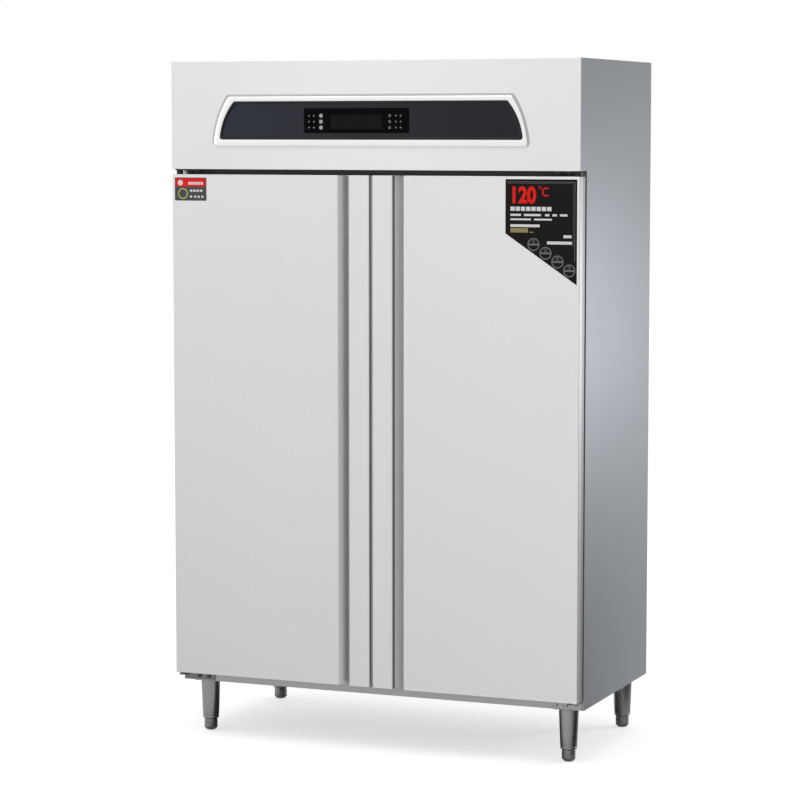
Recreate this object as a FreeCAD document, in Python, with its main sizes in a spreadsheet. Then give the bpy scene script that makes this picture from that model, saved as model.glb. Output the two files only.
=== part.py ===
"""Two-door dish sterilizer cabinet: every piece is an object bound to the sheet of dimensions.

Frame: +X to the viewer's right, +Y to the back, +Z up, origin on the floor under the middle
of the cabinet. All lengths are millimetres.
"""
import FreeCAD, Part
import math
import os
import re
import Sketcher

Vector = FreeCAD.Vector

DIMENSIONS = {
    # whole cabinet
    "cabinet_width": 1230,
    "cabinet_height": 1950,
    "body_depth": 640,          # door face to back panel
    "body_bottom": 155,
    "wall_thickness": 45,       # outer skin to inside of the liner
    "outer_sheet": 1.2,
    "inner_sheet": 1.0,
    "return_width": 20,         # folded edges of the side panels
    "base_sheet": 2,
    # front: header above, doors below, frame set back behind the doors
    "header_bottom": 1645,
    "frame_setback": 55,
    "frame_top": 1665,
    "frame_lip": 15,
    "opening_margin": 50,
    "opening_bottom": 215,
    "opening_top": 1600,
    "mullion_half": 35,
    "mullion_depth": 30,
    # cavity
    "floor_level": 205,
    "ceiling_level": 1610,
    "air_gap": 36,              # rear duct behind the slotted air panel
    "duct_plate_level": 1500,
    "insulation_gap": 2,
    # doors
    "door_bottom": 185,
    "door_top": 1630,
    "door_thickness": 42,
    "door_half_gap": 4.5,
    "door_corner": 3,
    "grip_strip_edge": 66,
    "grip_flank": 97,
    "grip_depth": 26,
    "grip_lead_radius": 6,
    "grip_sweep_radius": 20,
    "liner_emboss": 6,
    "emboss_margin": 20,
    "gasket_width": 12,
    "gasket_outer_inset": 22,
    "gasket_inner_inset": 10,
    "gasket_bottom": 198,
    "gasket_top": 1618,
    "seal_gap": 0.3,
    # hinges
    "pivot_inset": 14,
    "pivot_behind_face": 20,
    "pin_radius": 5,
    "pin_clearance": 0.05,
    "pin_length": 22,
    "hinge_drop": 5,
    "bush_half": 10,
    "collar_radius": 9,
    "bush_length": 24,
    "leaf_thickness": 4,
    "leaf_inset": 4,
    "leaf_width": 80,
    "lower_flange_width": 95,
    "lower_leaf_width": 26,
    # header panel
    "bezel_proud": 8,
    "panel_centre": -10,
    "bezel_top": 1851,
    "bezel_low": 1712,
    "bezel_half_top": 428,
    "bezel_half_low": 475,
    "bezel_corner": 14,
    "glass_top": 1834,
    "glass_low": 1734,
    "glass_half_top": 408,
    "glass_half_low": 453,
    "panel_end_radius": 165,
    "glass_corner": 7,
    "glass_thickness": 4,
    "panel_gap": 0.3,
    "module_centre": -41,
    "module_level": 1782,
    "module_half_width": 158,
    "module_half_height": 34,
    "module_proud": 5.5,
    "module_depth": 24,
    "module_wall": 2.5,
    "module_room": 3,
    "module_corner": 4,
    "window_recess": 0.8,
    "window_left": -119.5,
    "window_right": 37.7,
    "window_low": 1758,
    "window_high": 1799,
    "left_keys": -147,
    "right_keys": 61,
    "key_level": 1779,
    "key_pitch": 16.4,
    "key_half": 5.5,
    "key_flange_half": 6.8,
    "key_proud": 7.3,
    "key_clearance": 0.35,
    "board_behind_face": 2,
    # hot air
    "fan_place": 0,
    "impeller_radius": 125,
    "impeller_low": 1515,
    "impeller_high": 1575,
    "blade_count": 10,
    "blade_radius": 46,
    "blade_thickness": 1.5,
    "blade_inner_radius": 88,
    "blade_lag": 22,
    "hub_radius": 18,
    "shaft_radius": 5,
    "inlet_radius": 95,
    "guard_radius": 118,
    "guard_thickness": 2,
    "heater_radius": 158,
    "heater_tube_radius": 4.5,
    "heater_level": 1545,
    "heater_lead_half": 30,
    "heater_setback": 30,
    "heater_bend": 12,
    "heater_hole": 6,
    "motor_radius": 58,
    "motor_low": 1652,
    "motor_high": 1745,
    "motor_plate_half": 75,
    "motor_well_radius": 205,
    "shaft_hole": 13,
    "probe_across": -130,
    "probe_along": 140,
    "probe_radius": 3,
    "probe_hole": 4,
    "air_slot_half": 32,
    "air_slot_height": 9,
    "air_slot_low": 300,
    "air_slot_pitch": 200,
    # racks
    "upright_width": 25,
    "upright_depth": 12,
    "upright_front": -226,
    "upright_back": 196,
    "upright_top": 1490,
    "slot_pitch": 180,
    "first_rack": 460,
    "rack_spacing": 360,
    "rack_depth": 440,
    "rack_side_gap": 3,
    "rack_middle": -2,
    "rack_bar": 5,
    "rack_bar_height": 14,
    "wire_radius": 2.5,
    "wire_count": 14,
    "runner_leg": 16,
    "runner_thickness": 1.5,
    # legs and feet
    "leg_inset": 60,
    "front_leg": 106,
    "rear_leg": 598,
    "leg_top_radius": 28,
    "leg_low_radius": 23.2,
    "leg_low": 35,
    "foot_radius": 19.2,
    "neck_radius": 17,
    "neck_clearance": 0.08,
    "foot_bevel": 7,
    "leg_plate_half": 36,
    "leg_plate": 4,
    "leg_bore_top": 100,
    "neck_top": 80,
    # mains inlet
    "gland_proud": 16,
    "gland_place": -450,
    "gland_level": 1700,
    "gland_thread": 10,
    "gland_bore": 5,
}

document = FreeCAD.newDocument("dish_sterilizer_cabinet")
sheet = document.addObject("Spreadsheet::Sheet", "dims")
for row, (alias, size) in enumerate(DIMENSIONS.items(), start=1):
    sheet.set(f"A{row}", alias)
    sheet.set(f"B{row}", str(size))
    sheet.setAlias(f"B{row}", alias)
document.recompute()

# Planes and levels that many pieces share, as expressions of the sheet's cells.
SIDE = "(cabinet_width / 2)"
FRONT = "(bezel_proud / 2 - gland_proud / 2 - body_depth / 2)"
BACK = f"({FRONT} + body_depth)"
FRAME = f"({FRONT} + frame_setback)"
OPENING = f"({SIDE} - opening_margin)"
LINER = f"({SIDE} - wall_thickness)"
LINER_FRONT = f"({FRAME} + frame_lip)"
LINER_BACK = f"({BACK} - wall_thickness)"
AIR_PANEL = f"({LINER_BACK} - air_gap)"
DOOR_BACK = f"({FRONT} + door_thickness)"
PIVOT = f"({SIDE} - pivot_inset)"
PIVOT_Y = f"({FRONT} + pivot_behind_face)"
RETURN = f"({SIDE} - return_width)"

# How far an arc of an eighth of a circle runs and rises, in parts of its radius.
EIGHTH_RUN, EIGHTH_RISE = "0.70711", "0.29289"

# Round pieces without a running fit are made of this many short flats.
ROUND_SIDES = 32

RACK_OUTER = f"({LINER} - upright_depth - rack_side_gap)"
RACK_INNER = "(upright_width / 2 + rack_side_gap)"

NODES = {}


# ---------------------------------------------------------------- shared ways of building

def bound(text):
    """An expression of the sheet: each dimension's name gets the sheet's name before it."""
    return re.sub(r"[a-z][a-z_]+", lambda word: f"dims.{word.group()}", str(text))


def value(text):
    return float(sheet.evalExpression(bound(text)))


def body_named(name):
    """A body that a group or a mirror image uses."""
    body = document.addObject("PartDesign::Body", name)
    body.Label = name
    return body


def node(name, kind="PartDesign::Body"):
    """A sub-part: its Label names its file."""
    piece = document.addObject(kind, name)
    piece.Label = name
    NODES[name] = piece
    return piece


def mirror_image(name, source, keep=True):
    """The right-hand piece of a pair, made from the left-hand one."""
    image = node(name, "Part::Mirroring") if keep else document.addObject("Part::Mirroring", name)
    image.Source = source
    image.Normal = Vector(1, 0, 0)
    image.Base = Vector(0, 0, 0)
    return image


def group(name, pieces):
    """A node of several separate pieces."""
    whole = node(name, "Part::Compound")
    whole.Links = pieces
    return whole


def block(name, left, right, front, back, low, high):
    """A plain box between six planes."""
    box = document.addObject("Part::Box", name)
    for size, first, last in (("Length", left, right), ("Width", front, back), ("Height", low, high)):
        box.setExpression(size, bound(f"({last}) - ({first})"))
    place(box, left, front, low)
    return box


def place(piece, across, along, up="0"):
    for axis, text in zip("xyz", (across, along, up)):
        piece.setExpression(f"Placement.Base.{axis}", bound(text))


def origin_of(body, role):
    return next(item for item in body.Origin.OriginFeatures if item.Role == role)


def rectangle(left, right, low, high):
    return [(left, low), (right, low), (right, high), (left, high)]


def circle(across, up, radius):
    return (across, up, radius)


def draw_circle(sketch, across, up, radius):
    centre = Vector(value(across), value(up), 0)
    ring = sketch.addGeometry(Part.Circle(centre, Vector(0, 0, 1), value(radius)), False)
    for kind, text in (("DistanceX", across), ("DistanceY", up)):
        index = sketch.addConstraint(Sketcher.Constraint(kind, -1, 1, ring, 3, value(text)))
        sketch.setExpression(f"Constraints[{index}]", bound(text))
    index = sketch.addConstraint(Sketcher.Constraint("Radius", ring, value(radius)))
    sketch.setExpression(f"Constraints[{index}]", bound(radius))


def arc_between(start, end, radius):
    """The shorter arc that runs anticlockwise from start to end."""
    chord = end - start
    rise = math.sqrt(radius ** 2 - (chord.Length / 2) ** 2)
    centre = (start + end) / 2 + Vector(-chord.y, chord.x, 0) / chord.Length * rise
    first, last = (math.atan2(p.y - centre.y, p.x - centre.x) for p in (start, end))
    return Part.ArcOfCircle(Part.Circle(centre, Vector(0, 0, 1), radius), first, last)


def draw_outline(sketch, corners):
    """A closed anticlockwise outline; a corner's third item bends the side that follows it.

    A radius makes that side bulge outwards, and a radius after a "-" bends it inwards.
    """
    points = [Vector(value(corner[0]), value(corner[1]), 0) for corner in corners]
    ends = []
    for index, corner in enumerate(corners):
        start, end = points[index], points[(index + 1) % len(points)]
        bend = corner[2] if len(corner) > 2 else None
        if bend is None:
            side = sketch.addGeometry(Part.LineSegment(start, end), False)
            ends.append((side, 1, 2))
        elif bend.startswith("-"):
            side = sketch.addGeometry(arc_between(end, start, value(bend[1:])), False)
            ends.append((side, 2, 1))
        else:
            side = sketch.addGeometry(arc_between(start, end, value(bend)), False)
            ends.append((side, 1, 2))
    for index, corner in enumerate(corners):
        side, first, last = ends[index]
        following, begin, _ = ends[(index + 1) % len(corners)]
        sketch.addConstraint(Sketcher.Constraint("Coincident", side, last, following, begin))
        for kind, text in (("DistanceX", corner[0]), ("DistanceY", corner[1])):
            constraint = Sketcher.Constraint(kind, -1, 1, side, first, value(text))
            sketch.setExpression(f"Constraints[{sketch.addConstraint(constraint)}]", bound(text))
        if len(corner) > 2:
            text = corner[2].lstrip("-")
            index = sketch.addConstraint(Sketcher.Constraint("Radius", side, value(text)))
            sketch.setExpression(f"Constraints[{index}]", bound(text))


def draw(body, plane, outlines, level):
    """A sketch on an origin plane of the body, moved along the plane's normal to a level."""
    sketch = body.newObject("Sketcher::SketchObject", f"{body.Name}_sketch")
    sketch.AttachmentSupport = [(origin_of(body, f"{plane}_Plane"), "")]
    sketch.MapMode = "FlatFace"
    sketch.setExpression("AttachmentOffset.Base.z", bound(level))
    for outline in outlines:
        if isinstance(outline, tuple):
            draw_circle(sketch, *outline)
        else:
            draw_outline(sketch, outline)
    return sketch


def prism(body, kind, plane, outlines, low, high):
    """Outlines swept from low to high along the plane's own axis; the XZ plane faces -Y."""
    level = f"-({high})" if plane == "XZ" else low
    feature = body.newObject(kind, f"{body.Name}_{kind.split('::')[1].lower()}")
    feature.Profile = draw(body, plane, outlines, level)
    feature.setExpression("Length", bound(f"({high}) - ({low})"))
    return feature


def add(body, plane, outlines, low, high):
    return prism(body, "PartDesign::Pad", plane, outlines, low, high)


def cut(body, plane, outlines, low, high):
    """A pocket that takes material away between low and high, and is checked to do so."""
    document.recompute()
    before = body.Shape.Volume
    feature = prism(body, "PartDesign::Pocket", plane, outlines, low, high)
    feature.Reversed = True
    document.recompute()
    assert body.Shape.Volume < before, f"{feature.Name} cut nothing"
    return feature


def rod(body, kind, radius, low, high, sides=ROUND_SIDES, plane="XY", centre=("0", "0")):
    """A many-sided rod that is added or taken away, low to high along the plane's own axis."""
    feature = body.newObject(f"PartDesign::{kind}Prism", f"{body.Name}_{kind.lower()}")
    feature.AttachmentSupport = [(origin_of(body, f"{plane}_Plane"), "")]
    feature.MapMode = "FlatFace"
    feature.Polygon = sides
    level = f"-({high})" if plane == "XZ" else low
    feature.setExpression("Circumradius", bound(radius))
    feature.setExpression("Height", bound(f"({high}) - ({low})"))
    for axis, text in zip("xyz", (*centre, level)):
        feature.setExpression(f"AttachmentOffset.Base.{axis}", bound(text))
    return feature


def tapered(name, *rings):
    """A many-sided cone through rings of the given radii and levels."""
    outlines = []
    for radius, level in rings:
        outline = document.addObject("Part::RegularPolygon", f"{name}_ring")
        outline.Polygon = ROUND_SIDES
        outline.setExpression("Circumradius", bound(radius))
        outline.setExpression("Placement.Base.z", bound(level))
        outlines.append(outline)
    cone = document.addObject("Part::Loft", name)
    cone.Sections = outlines
    cone.Solid = True
    cone.Ruled = True
    return cone


def repeat(body, features, axis, spacing, count):
    pattern = body.newObject("PartDesign::LinearPattern", f"{body.Name}_row")
    pattern.Originals = features
    pattern.Direction = (origin_of(body, f"{axis}_Axis"), [""])
    pattern.setExpression("Length", bound(f"({spacing}) * {count - 1}"))
    pattern.Occurrences = count
    body.Tip = pattern
    return pattern


def repeat_round(body, features, count):
    pattern = body.newObject("PartDesign::PolarPattern", f"{body.Name}_ring")
    pattern.Originals = features
    pattern.Axis = (origin_of(body, "Z_Axis"), [""])
    pattern.Angle = 360
    pattern.Occurrences = count
    body.Tip = pattern
    return pattern


def upright_edges(*places):
    """Chooses edges along Z whose position in plan is one of the places."""
    spots = [(value(across), value(along)) for across, along in places]

    def test(edge):
        box = edge.BoundBox
        thin = max(box.XLength, box.YLength) < 1e-4 < box.ZLength
        return thin and any(math.hypot(box.XMin - x, box.YMin - y) < 1e-3 for x, y in spots)
    return test


def soften(body, radius, test, kind="Fillet"):
    """Rounds or bevels the edges of the body that pass the test."""
    document.recompute()
    base = body.Tip
    chosen = [f"Edge{i}" for i, edge in enumerate(base.Shape.Edges, start=1) if test(edge)]
    assert chosen, f"{body.Name} has no edge to soften"
    feature = body.newObject(f"PartDesign::{kind}", f"{body.Name}_{kind.lower()}")
    feature.Base = (base, chosen)
    feature.setExpression("Radius" if kind == "Fillet" else "Size", bound(radius))
    return feature


def hollow(body, thickness, *openings):
    """Turns the body into folded sheet, open at the faces whose plane is axis, place."""
    document.recompute()
    base = body.Tip

    def opened(face):
        box = face.BoundBox
        return any(abs(getattr(box, f"{axis}Min") - value(text)) < 1e-3
                   and abs(getattr(box, f"{axis}Max") - value(text)) < 1e-3
                   for axis, text in openings)
    chosen = [f"Face{i}" for i, face in enumerate(base.Shape.Faces, start=1) if opened(face)]
    assert chosen, f"{body.Name} has no face to open"
    feature = body.newObject("PartDesign::Thickness", f"{body.Name}_shell")
    feature.Base = (base, chosen)
    feature.setExpression("Value", bound(thickness))
    feature.Reversed = True
    feature.Mode = 0
    feature.Join = 1
    return feature


def edges_along(axis, *places):
    """Chooses straight edges along an axis that pass the places, given in the other two axes."""
    others = [name for name in "XYZ" if name != axis]
    spots = [tuple(value(text) for text in spot) for spot in places]

    def test(edge):
        box = edge.BoundBox
        span = [getattr(box, f"{name}Length") for name in others]
        spot = [getattr(box, f"{name}Min") for name in others]
        straight = max(span) < 1e-4 < getattr(box, f"{axis}Length")
        return straight and any(math.dist(spot, wanted) < 1e-3 for wanted in spots)
    return test


def edges_on(axis, place):
    """Chooses every edge that lies in the plane at a place on an axis."""
    level = value(place)

    def test(edge):
        box = edge.BoundBox
        return max(abs(getattr(box, f"{axis}{end}") - level) for end in ("Min", "Max")) < 1e-3
    return test


# ---------------------------------------------------------------- casing

def side_panels():
    """Folded pans from the bottom of the body to the roof, notched for the doors."""
    rear, top = f"{BACK} - outer_sheet", "cabinet_height - outer_sheet"
    panel = node("left_side_panel")
    outline = [(FRAME, "body_bottom"), (rear, "body_bottom"), (rear, top),
               (f"{FRONT} + outer_sheet", top), (f"{FRONT} + outer_sheet", "header_bottom"),
               (FRAME, "header_bottom")]
    add(panel, "YZ", [outline], f"-{SIDE}", f"-{RETURN}")
    hollow(panel, "outer_sheet", ("X", f"-{RETURN}"))
    mirror_image("right_side_panel", panel)


def rear_panel():
    """Flat back with two banks of vent slots behind the header and a hole for the mains gland."""
    panel = node("rear_panel")
    top = "cabinet_height - outer_sheet"
    skin = (f"{BACK} - outer_sheet", BACK)
    add(panel, "XZ", [rectangle(f"-{SIDE}", SIDE, "body_bottom", top)], *skin)
    slot = cut(panel, "XZ", [rectangle("-190", "-110", "1760", "1768")], *skin)
    repeat(panel, [slot], "Z", "22", 6)
    other = cut(panel, "XZ", [rectangle("110", "190", "1760", "1768")], *skin)
    repeat(panel, [other], "Z", "22", 6)
    cut(panel, "XZ", [circle("gland_place", "gland_level", "gland_thread")], *skin)


def roof_panel():
    """Flat lid over the side panels, behind the fascia."""
    panel = node("roof_panel")
    outline = rectangle(f"-{SIDE}", SIDE, f"{FRONT} + outer_sheet", BACK)
    add(panel, "XY", [outline], "cabinet_height - outer_sheet", "cabinet_height")


def base_pan():
    """Thick bottom plate between the side panels' returns, with two stiffening ribs."""
    pan = node("base_pan")
    front, back = f"{FRAME} + outer_sheet", f"{BACK} - outer_sheet"
    add(pan, "XY", [rectangle(f"-{RETURN}", RETURN, front, back)],
        "body_bottom", "body_bottom + base_sheet")
    for side in (-1, 1):
        rib = rectangle(f"{side} * {SIDE} / 3 - base_sheet", f"{side} * {SIDE} / 3 + base_sheet",
                        front, back)
        add(pan, "XY", [rib], "body_bottom", "body_bottom + base_sheet * 2")


def header_fascia():
    """Front of the header with an opening for the display and returns at its foot and head."""
    fascia = node("header_fascia")
    window = rectangle("module_centre - module_half_width - module_room",
                       "module_centre + module_half_width + module_room",
                       "module_level - module_half_height - module_room",
                       "module_level + module_half_height + module_room")
    add(fascia, "XZ", [rectangle(f"-{SIDE}", SIDE, "header_bottom", "cabinet_height"), window],
        FRONT, f"{FRONT} + outer_sheet")
    add(fascia, "XY", [rectangle(f"-{RETURN}", RETURN, FRONT, FRAME)],
        "header_bottom", "header_bottom + outer_sheet")
    add(fascia, "XY", [rectangle(f"-{RETURN}", RETURN, FRONT, f"{FRONT} + return_width")],
        "cabinet_height - outer_sheet * 2", "cabinet_height - outer_sheet")


def door_frame():
    """Ring round the cavity's mouth, with a lip that runs back to the liner."""
    frame = node("door_frame")
    mouth = rectangle(f"-{OPENING}", OPENING, "opening_bottom", "opening_top")
    lip = rectangle(f"-{OPENING} - outer_sheet", f"{OPENING} + outer_sheet",
                    "opening_bottom - outer_sheet", "opening_top + outer_sheet")
    add(frame, "XZ", [rectangle(f"-{RETURN}", RETURN, "body_bottom", "frame_top"), mouth],
        FRAME, f"{FRAME} + outer_sheet")
    add(frame, "XZ", [lip, mouth], FRAME, LINER_FRONT)


def centre_mullion():
    """Channel between the doors that both gaskets close on."""
    mullion = node("centre_mullion")
    back = f"{FRAME} + mullion_depth"
    add(mullion, "XY", [rectangle("-mullion_half", "mullion_half", FRAME, back)],
        "opening_bottom", "opening_top")
    hollow(mullion, "outer_sheet", ("Y", back))


# ---------------------------------------------------------------- liner and insulation

def liner():
    """Five sheets round the cavity; the side walls and the floor are lipped to the frame."""
    wall = node("liner_left_wall")
    outer = f"-{LINER} - inner_sheet"
    low, high = "floor_level - inner_sheet", "ceiling_level + inner_sheet"
    add(wall, "XY", [rectangle(outer, f"-{LINER}", LINER_FRONT, f"{LINER_BACK} + inner_sheet")],
        low, high)
    lip_back = f"{LINER_FRONT} + inner_sheet"
    add(wall, "XY", [rectangle(outer, f"-{OPENING}", LINER_FRONT, lip_back)],
        "floor_level", "ceiling_level")
    mirror_image("liner_right_wall", wall)

    rear = node("liner_rear_wall")
    add(rear, "XZ", [rectangle(f"-{LINER}", LINER, low, high)],
        LINER_BACK, f"{LINER_BACK} + inner_sheet")

    floor = node("liner_floor")
    add(floor, "XY", [rectangle(f"-{LINER}", LINER, LINER_FRONT, LINER_BACK)], low, "floor_level")
    add(floor, "XZ", [rectangle(f"-{OPENING}", OPENING, low, "opening_bottom")],
        LINER_FRONT, lip_back)

    ceiling = node("liner_ceiling")
    holes = [circle("0", "fan_place", "shaft_hole"), circle("probe_across", "probe_along", "probe_hole")]
    holes += [circle(across, along, "heater_hole") for across, along in heater_leads()]
    add(ceiling, "XY", [rectangle(f"-{LINER}", LINER, LINER_FRONT, LINER_BACK), *holes],
        "ceiling_level", high)
    add(ceiling, "XZ", [rectangle(f"-{OPENING}", OPENING, "opening_top", high)],
        LINER_FRONT, lip_back)


def insulation():
    """Mineral wool slabs between the liner and the outer panels."""
    inside = f"{LINER} + inner_sheet + insulation_gap"
    outside = f"{SIDE} - outer_sheet - insulation_gap"
    front, back = f"{FRAME} + wall_thickness / 2", f"{LINER_BACK}"
    low, high = "opening_bottom", "opening_top"
    left = block("left_slab", f"-({outside})", f"-({inside})", front, back, low, high)
    right = block("right_slab", inside, outside, front, back, low, high)
    rear = block("rear_slab", f"-({LINER})", LINER, f"{LINER_BACK} + inner_sheet + insulation_gap",
                 f"{BACK} - outer_sheet - insulation_gap", low, high)
    bottom = block("bottom_slab", f"-({LINER})", LINER, front, back,
                   "body_bottom + base_sheet + insulation_gap",
                   "floor_level - inner_sheet - insulation_gap")
    top = block("top_slab", f"-({LINER})", LINER, front, back,
                "ceiling_level + inner_sheet + insulation_gap", "header_bottom")
    well = document.addObject("Part::Cylinder", "fan_well")
    well.setExpression("Radius", bound("motor_well_radius"))
    well.setExpression("Height", bound("header_bottom - ceiling_level"))
    place(well, "0", "fan_place", "ceiling_level")
    pierced = document.addObject("Part::Cut", "top_slab_with_well")
    pierced.Base, pierced.Tool = top, well
    group("body_insulation", [left, right, rear, bottom, pierced])


# ---------------------------------------------------------------- hot air

def heater_leads():
    """Plan positions of the heater's two risers, behind the ring."""
    return [(f"{side} * heater_lead_half", "fan_place + heater_radius + heater_setback")
            for side in (-1, 1)]


def rear_air_panel():
    """Slotted sheet that spreads the hot air over every shelf of both bays."""
    panel = node("rear_air_panel")
    skin = (AIR_PANEL, f"{AIR_PANEL} + inner_sheet")
    edge = f"({LINER} - panel_gap)"
    add(panel, "XZ", [rectangle(f"-{edge}", edge, "floor_level + return_width",
                                "duct_plate_level")], *skin)
    slots = [rectangle(f"{centre} - air_slot_half", f"{centre} + air_slot_half",
                       "air_slot_low", "air_slot_low + air_slot_height")
             for centre in ("-450", "-285", "-120", "120", "285", "450")]
    row = cut(panel, "XZ", slots, *skin)
    repeat(panel, [row], "Z", "air_slot_pitch", 6)


def duct_plate():
    """False ceiling with the fan's inlet, hung from the ceiling by folded walls."""
    plate = node("duct_plate")
    edge = f"({LINER} - panel_gap)"
    front = f"{LINER_FRONT} + mullion_depth"
    add(plate, "XY", [rectangle(f"-{edge}", edge, front, AIR_PANEL)],
        "duct_plate_level", "ceiling_level")
    hollow(plate, "inner_sheet", ("Z", "ceiling_level"), ("Y", AIR_PANEL))
    cut(plate, "XY", [circle("0", "fan_place", "inlet_radius"),
                      circle("probe_across", "probe_along", "probe_hole")],
        "duct_plate_level", "duct_plate_level + inner_sheet")


def fan_guard():
    """Disc under the inlet with two rings of tapered slots."""
    guard = node("fan_guard")
    low, high = "duct_plate_level - guard_thickness", "duct_plate_level"
    place(guard, "0", "fan_place")
    rod(guard, "Additive", "guard_radius", low, high)
    outer = [("62", "-4"), ("88", "-7"), ("88", "7"), ("62", "4")]
    inner = [("22", "-3"), ("52", "-8"), ("52", "8"), ("22", "3")]
    slot = cut(guard, "XY", [outer], low, high)
    repeat_round(guard, [slot], 15)
    slot = cut(guard, "XY", [inner], low, high)
    repeat_round(guard, [slot], 8)


def fan_impeller():
    """Centrifugal wheel: hub and back plate above, inlet ring below, backward-curved blades."""
    low, high = value("impeller_low"), value("impeller_high")
    thick, rim = value("blade_thickness"), value("impeller_radius")
    inner, bend = value("blade_inner_radius"), value("blade_radius")
    bore = value("shaft_radius + 0.02")
    hub = disc(value("hub_radius"), low, high - low)
    plate = disc(rim, high - thick, thick)
    ring = disc(rim, low, thick).cut(disc(inner, low, thick))
    wheel = hub.multiFuse([plate, ring, *blades(low, high, thick, inner, rim, bend)])
    wheel = wheel.cut(Part.makeCylinder(bore, high - low, Vector(0, 0, low)))
    impeller = node("fan_impeller", "Part::Feature")
    impeller.Shape = wheel.removeSplitter()
    place(impeller, "0", "fan_place")


def disc(radius, low, thick):
    """A disc whose rim is made of many short flats."""
    turns = [math.tau * corner / ROUND_SIDES for corner in range(ROUND_SIDES + 1)]
    corners = [Vector(radius * math.cos(turn), radius * math.sin(turn), low) for turn in turns]
    return Part.Face(Part.makePolygon(corners)).extrude(Vector(0, 0, thick))


def blades(low, high, thick, inner, rim, bend):
    """Blades curved from the inlet ring out to the rim, each bent along an arc in short steps."""
    lag = math.radians(value("blade_lag"))
    start = Vector(inner, 0, 0)
    end = Vector((rim - 1) * math.cos(lag), -(rim - 1) * math.sin(lag), 0)
    chord = end - start
    across = Vector(-chord.y, chord.x, 0).normalize()
    middle = (start + end) / 2 + across * (bend - math.sqrt(bend ** 2 - (chord.Length / 2) ** 2))
    face, back = ([point + across * shift for point in (start, middle, end)]
                  for shift in (0, thick))
    points = [*Part.Arc(*face).discretize(6), *Part.Arc(*reversed(back)).discretize(6), face[0]]
    blade = Part.Face(Part.makePolygon(points)).extrude(Vector(0, 0, high - low))
    blade.translate(Vector(0, 0, low))
    count = int(value("blade_count"))
    for turn in range(count):
        turned = blade.copy()
        turned.rotate(Vector(), Vector(0, 0, 1), 360 * turn / count)
        yield turned


def motor_shaft():
    """Steel shaft from the motor's bore down through the impeller's hub."""
    shaft = node("motor_shaft")
    place(shaft, "0", "fan_place")
    add(shaft, "XY", [circle("0", "0", "shaft_radius")], "impeller_low - 6", "motor_high - 15")


def fan_motor():
    """Ribbed can on four posts over a mounting plate, bored for the shaft."""
    motor = node("fan_motor")
    place(motor, "0", "fan_place")
    disc = "ceiling_level + inner_sheet"
    half = "motor_plate_half"
    add(motor, "XY", [rectangle(f"-{half}", half, f"-{half}", half),
                      circle("0", "0", "shaft_hole")], disc, f"{disc} + 3")
    post = add(motor, "XY", [rectangle("motor_radius - 18", "motor_radius - 12", "-5", "5")],
               disc, "motor_low + 2")
    repeat_round(motor, [post], 4)
    rod(motor, "Additive", "motor_radius", "motor_low", "motor_high")
    soften(motor, "12", edges_on("Z", "motor_high"), "Chamfer")
    cut(motor, "XY", [circle("0", "0", "shaft_radius + pin_clearance")],
        "motor_low", "motor_high - 8")
    rib = add(motor, "XY", [rectangle("motor_radius - 2", "motor_radius + 4", "-1.5", "1.5")],
              "motor_low + 14", "motor_high - 18")
    repeat_round(motor, [rib], 10)


def heating_element():
    """A tube round the impeller, left open at the back, whose ends become two risers.

    Each end leaves the ring by a tangent bend, runs straight back, and bends up through the
    ceiling. The section is a hexagon, and the ring is bent in short straight steps.
    """
    tube, radius, level = (value(f"heater_{name}") for name in ("tube_radius", "radius", "level"))
    half, bend, setback = (value(f"heater_{name}") for name in ("lead_half", "bend", "setback"))
    setback += radius
    top = value("header_bottom + return_width")
    centre = Vector(half + bend, math.sqrt((radius + bend) ** 2 - (half + bend) ** 2), 0)
    leaving = centre * (radius / (radius + bend))
    inward = ((leaving - centre).normalize() + Vector(-1, 0, 0)).normalize()
    diagonal = math.sqrt(0.5) * bend
    opening = math.atan2(leaving.x, leaving.y)
    sweep = 2 * (math.pi - opening)
    ring = [Vector(radius * math.sin(turn), radius * math.cos(turn), 0)
            for turn in (opening + sweep * step / 28 for step in range(29))]
    lead = [centre + inward * bend, Vector(half, centre.y, 0), Vector(half, setback - bend, 0),
            Vector(half, setback - bend + diagonal, bend - diagonal), Vector(half, setback, bend),
            Vector(half, setback, top - level)]
    other = [Vector(-point.x, point.y, point.z) for point in lead]
    path = Part.makePolygon([*reversed(lead), *ring, *other])
    corners = [lead[-1] + Vector(math.cos(turn), math.sin(turn), 0) * tube
               for turn in (math.radians(60 * corner) for corner in range(7))]
    element = node("heating_element", "Part::Feature")
    element.Shape = path.makePipeShell([Part.makePolygon(corners)], True, False, 1)
    place(element, "0", "fan_place", "heater_level")


def temperature_probe():
    """Rod that hangs through the duct plate into the cavity, with a hexagon at the ceiling."""
    probe = node("temperature_probe")
    place(probe, "probe_across", "probe_along")
    rod(probe, "Additive", "probe_radius", "duct_plate_level - 45",
        "ceiling_level + inner_sheet + 12", sides=16)
    rod(probe, "Additive", "probe_radius * 2.5", "ceiling_level + inner_sheet",
        "ceiling_level + inner_sheet + 6", sides=6)


# ---------------------------------------------------------------- header panel

def panel_outline(half_top, half_low, low, high, radius):
    """Flat top and bottom and bulged ends, wider at the bottom, anticlockwise in X and Z."""
    return [(f"panel_centre - ({half_low})", low), (f"panel_centre + ({half_low})", low, radius),
            (f"panel_centre + ({half_top})", high), (f"panel_centre - ({half_top})", high, radius)]


def panel_corners(half_top, half_low, low, high):
    return [(f"panel_centre + {side} * ({half})", level)
            for side in (-1, 1) for half, level in ((half_low, low), (half_top, high))]


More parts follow.
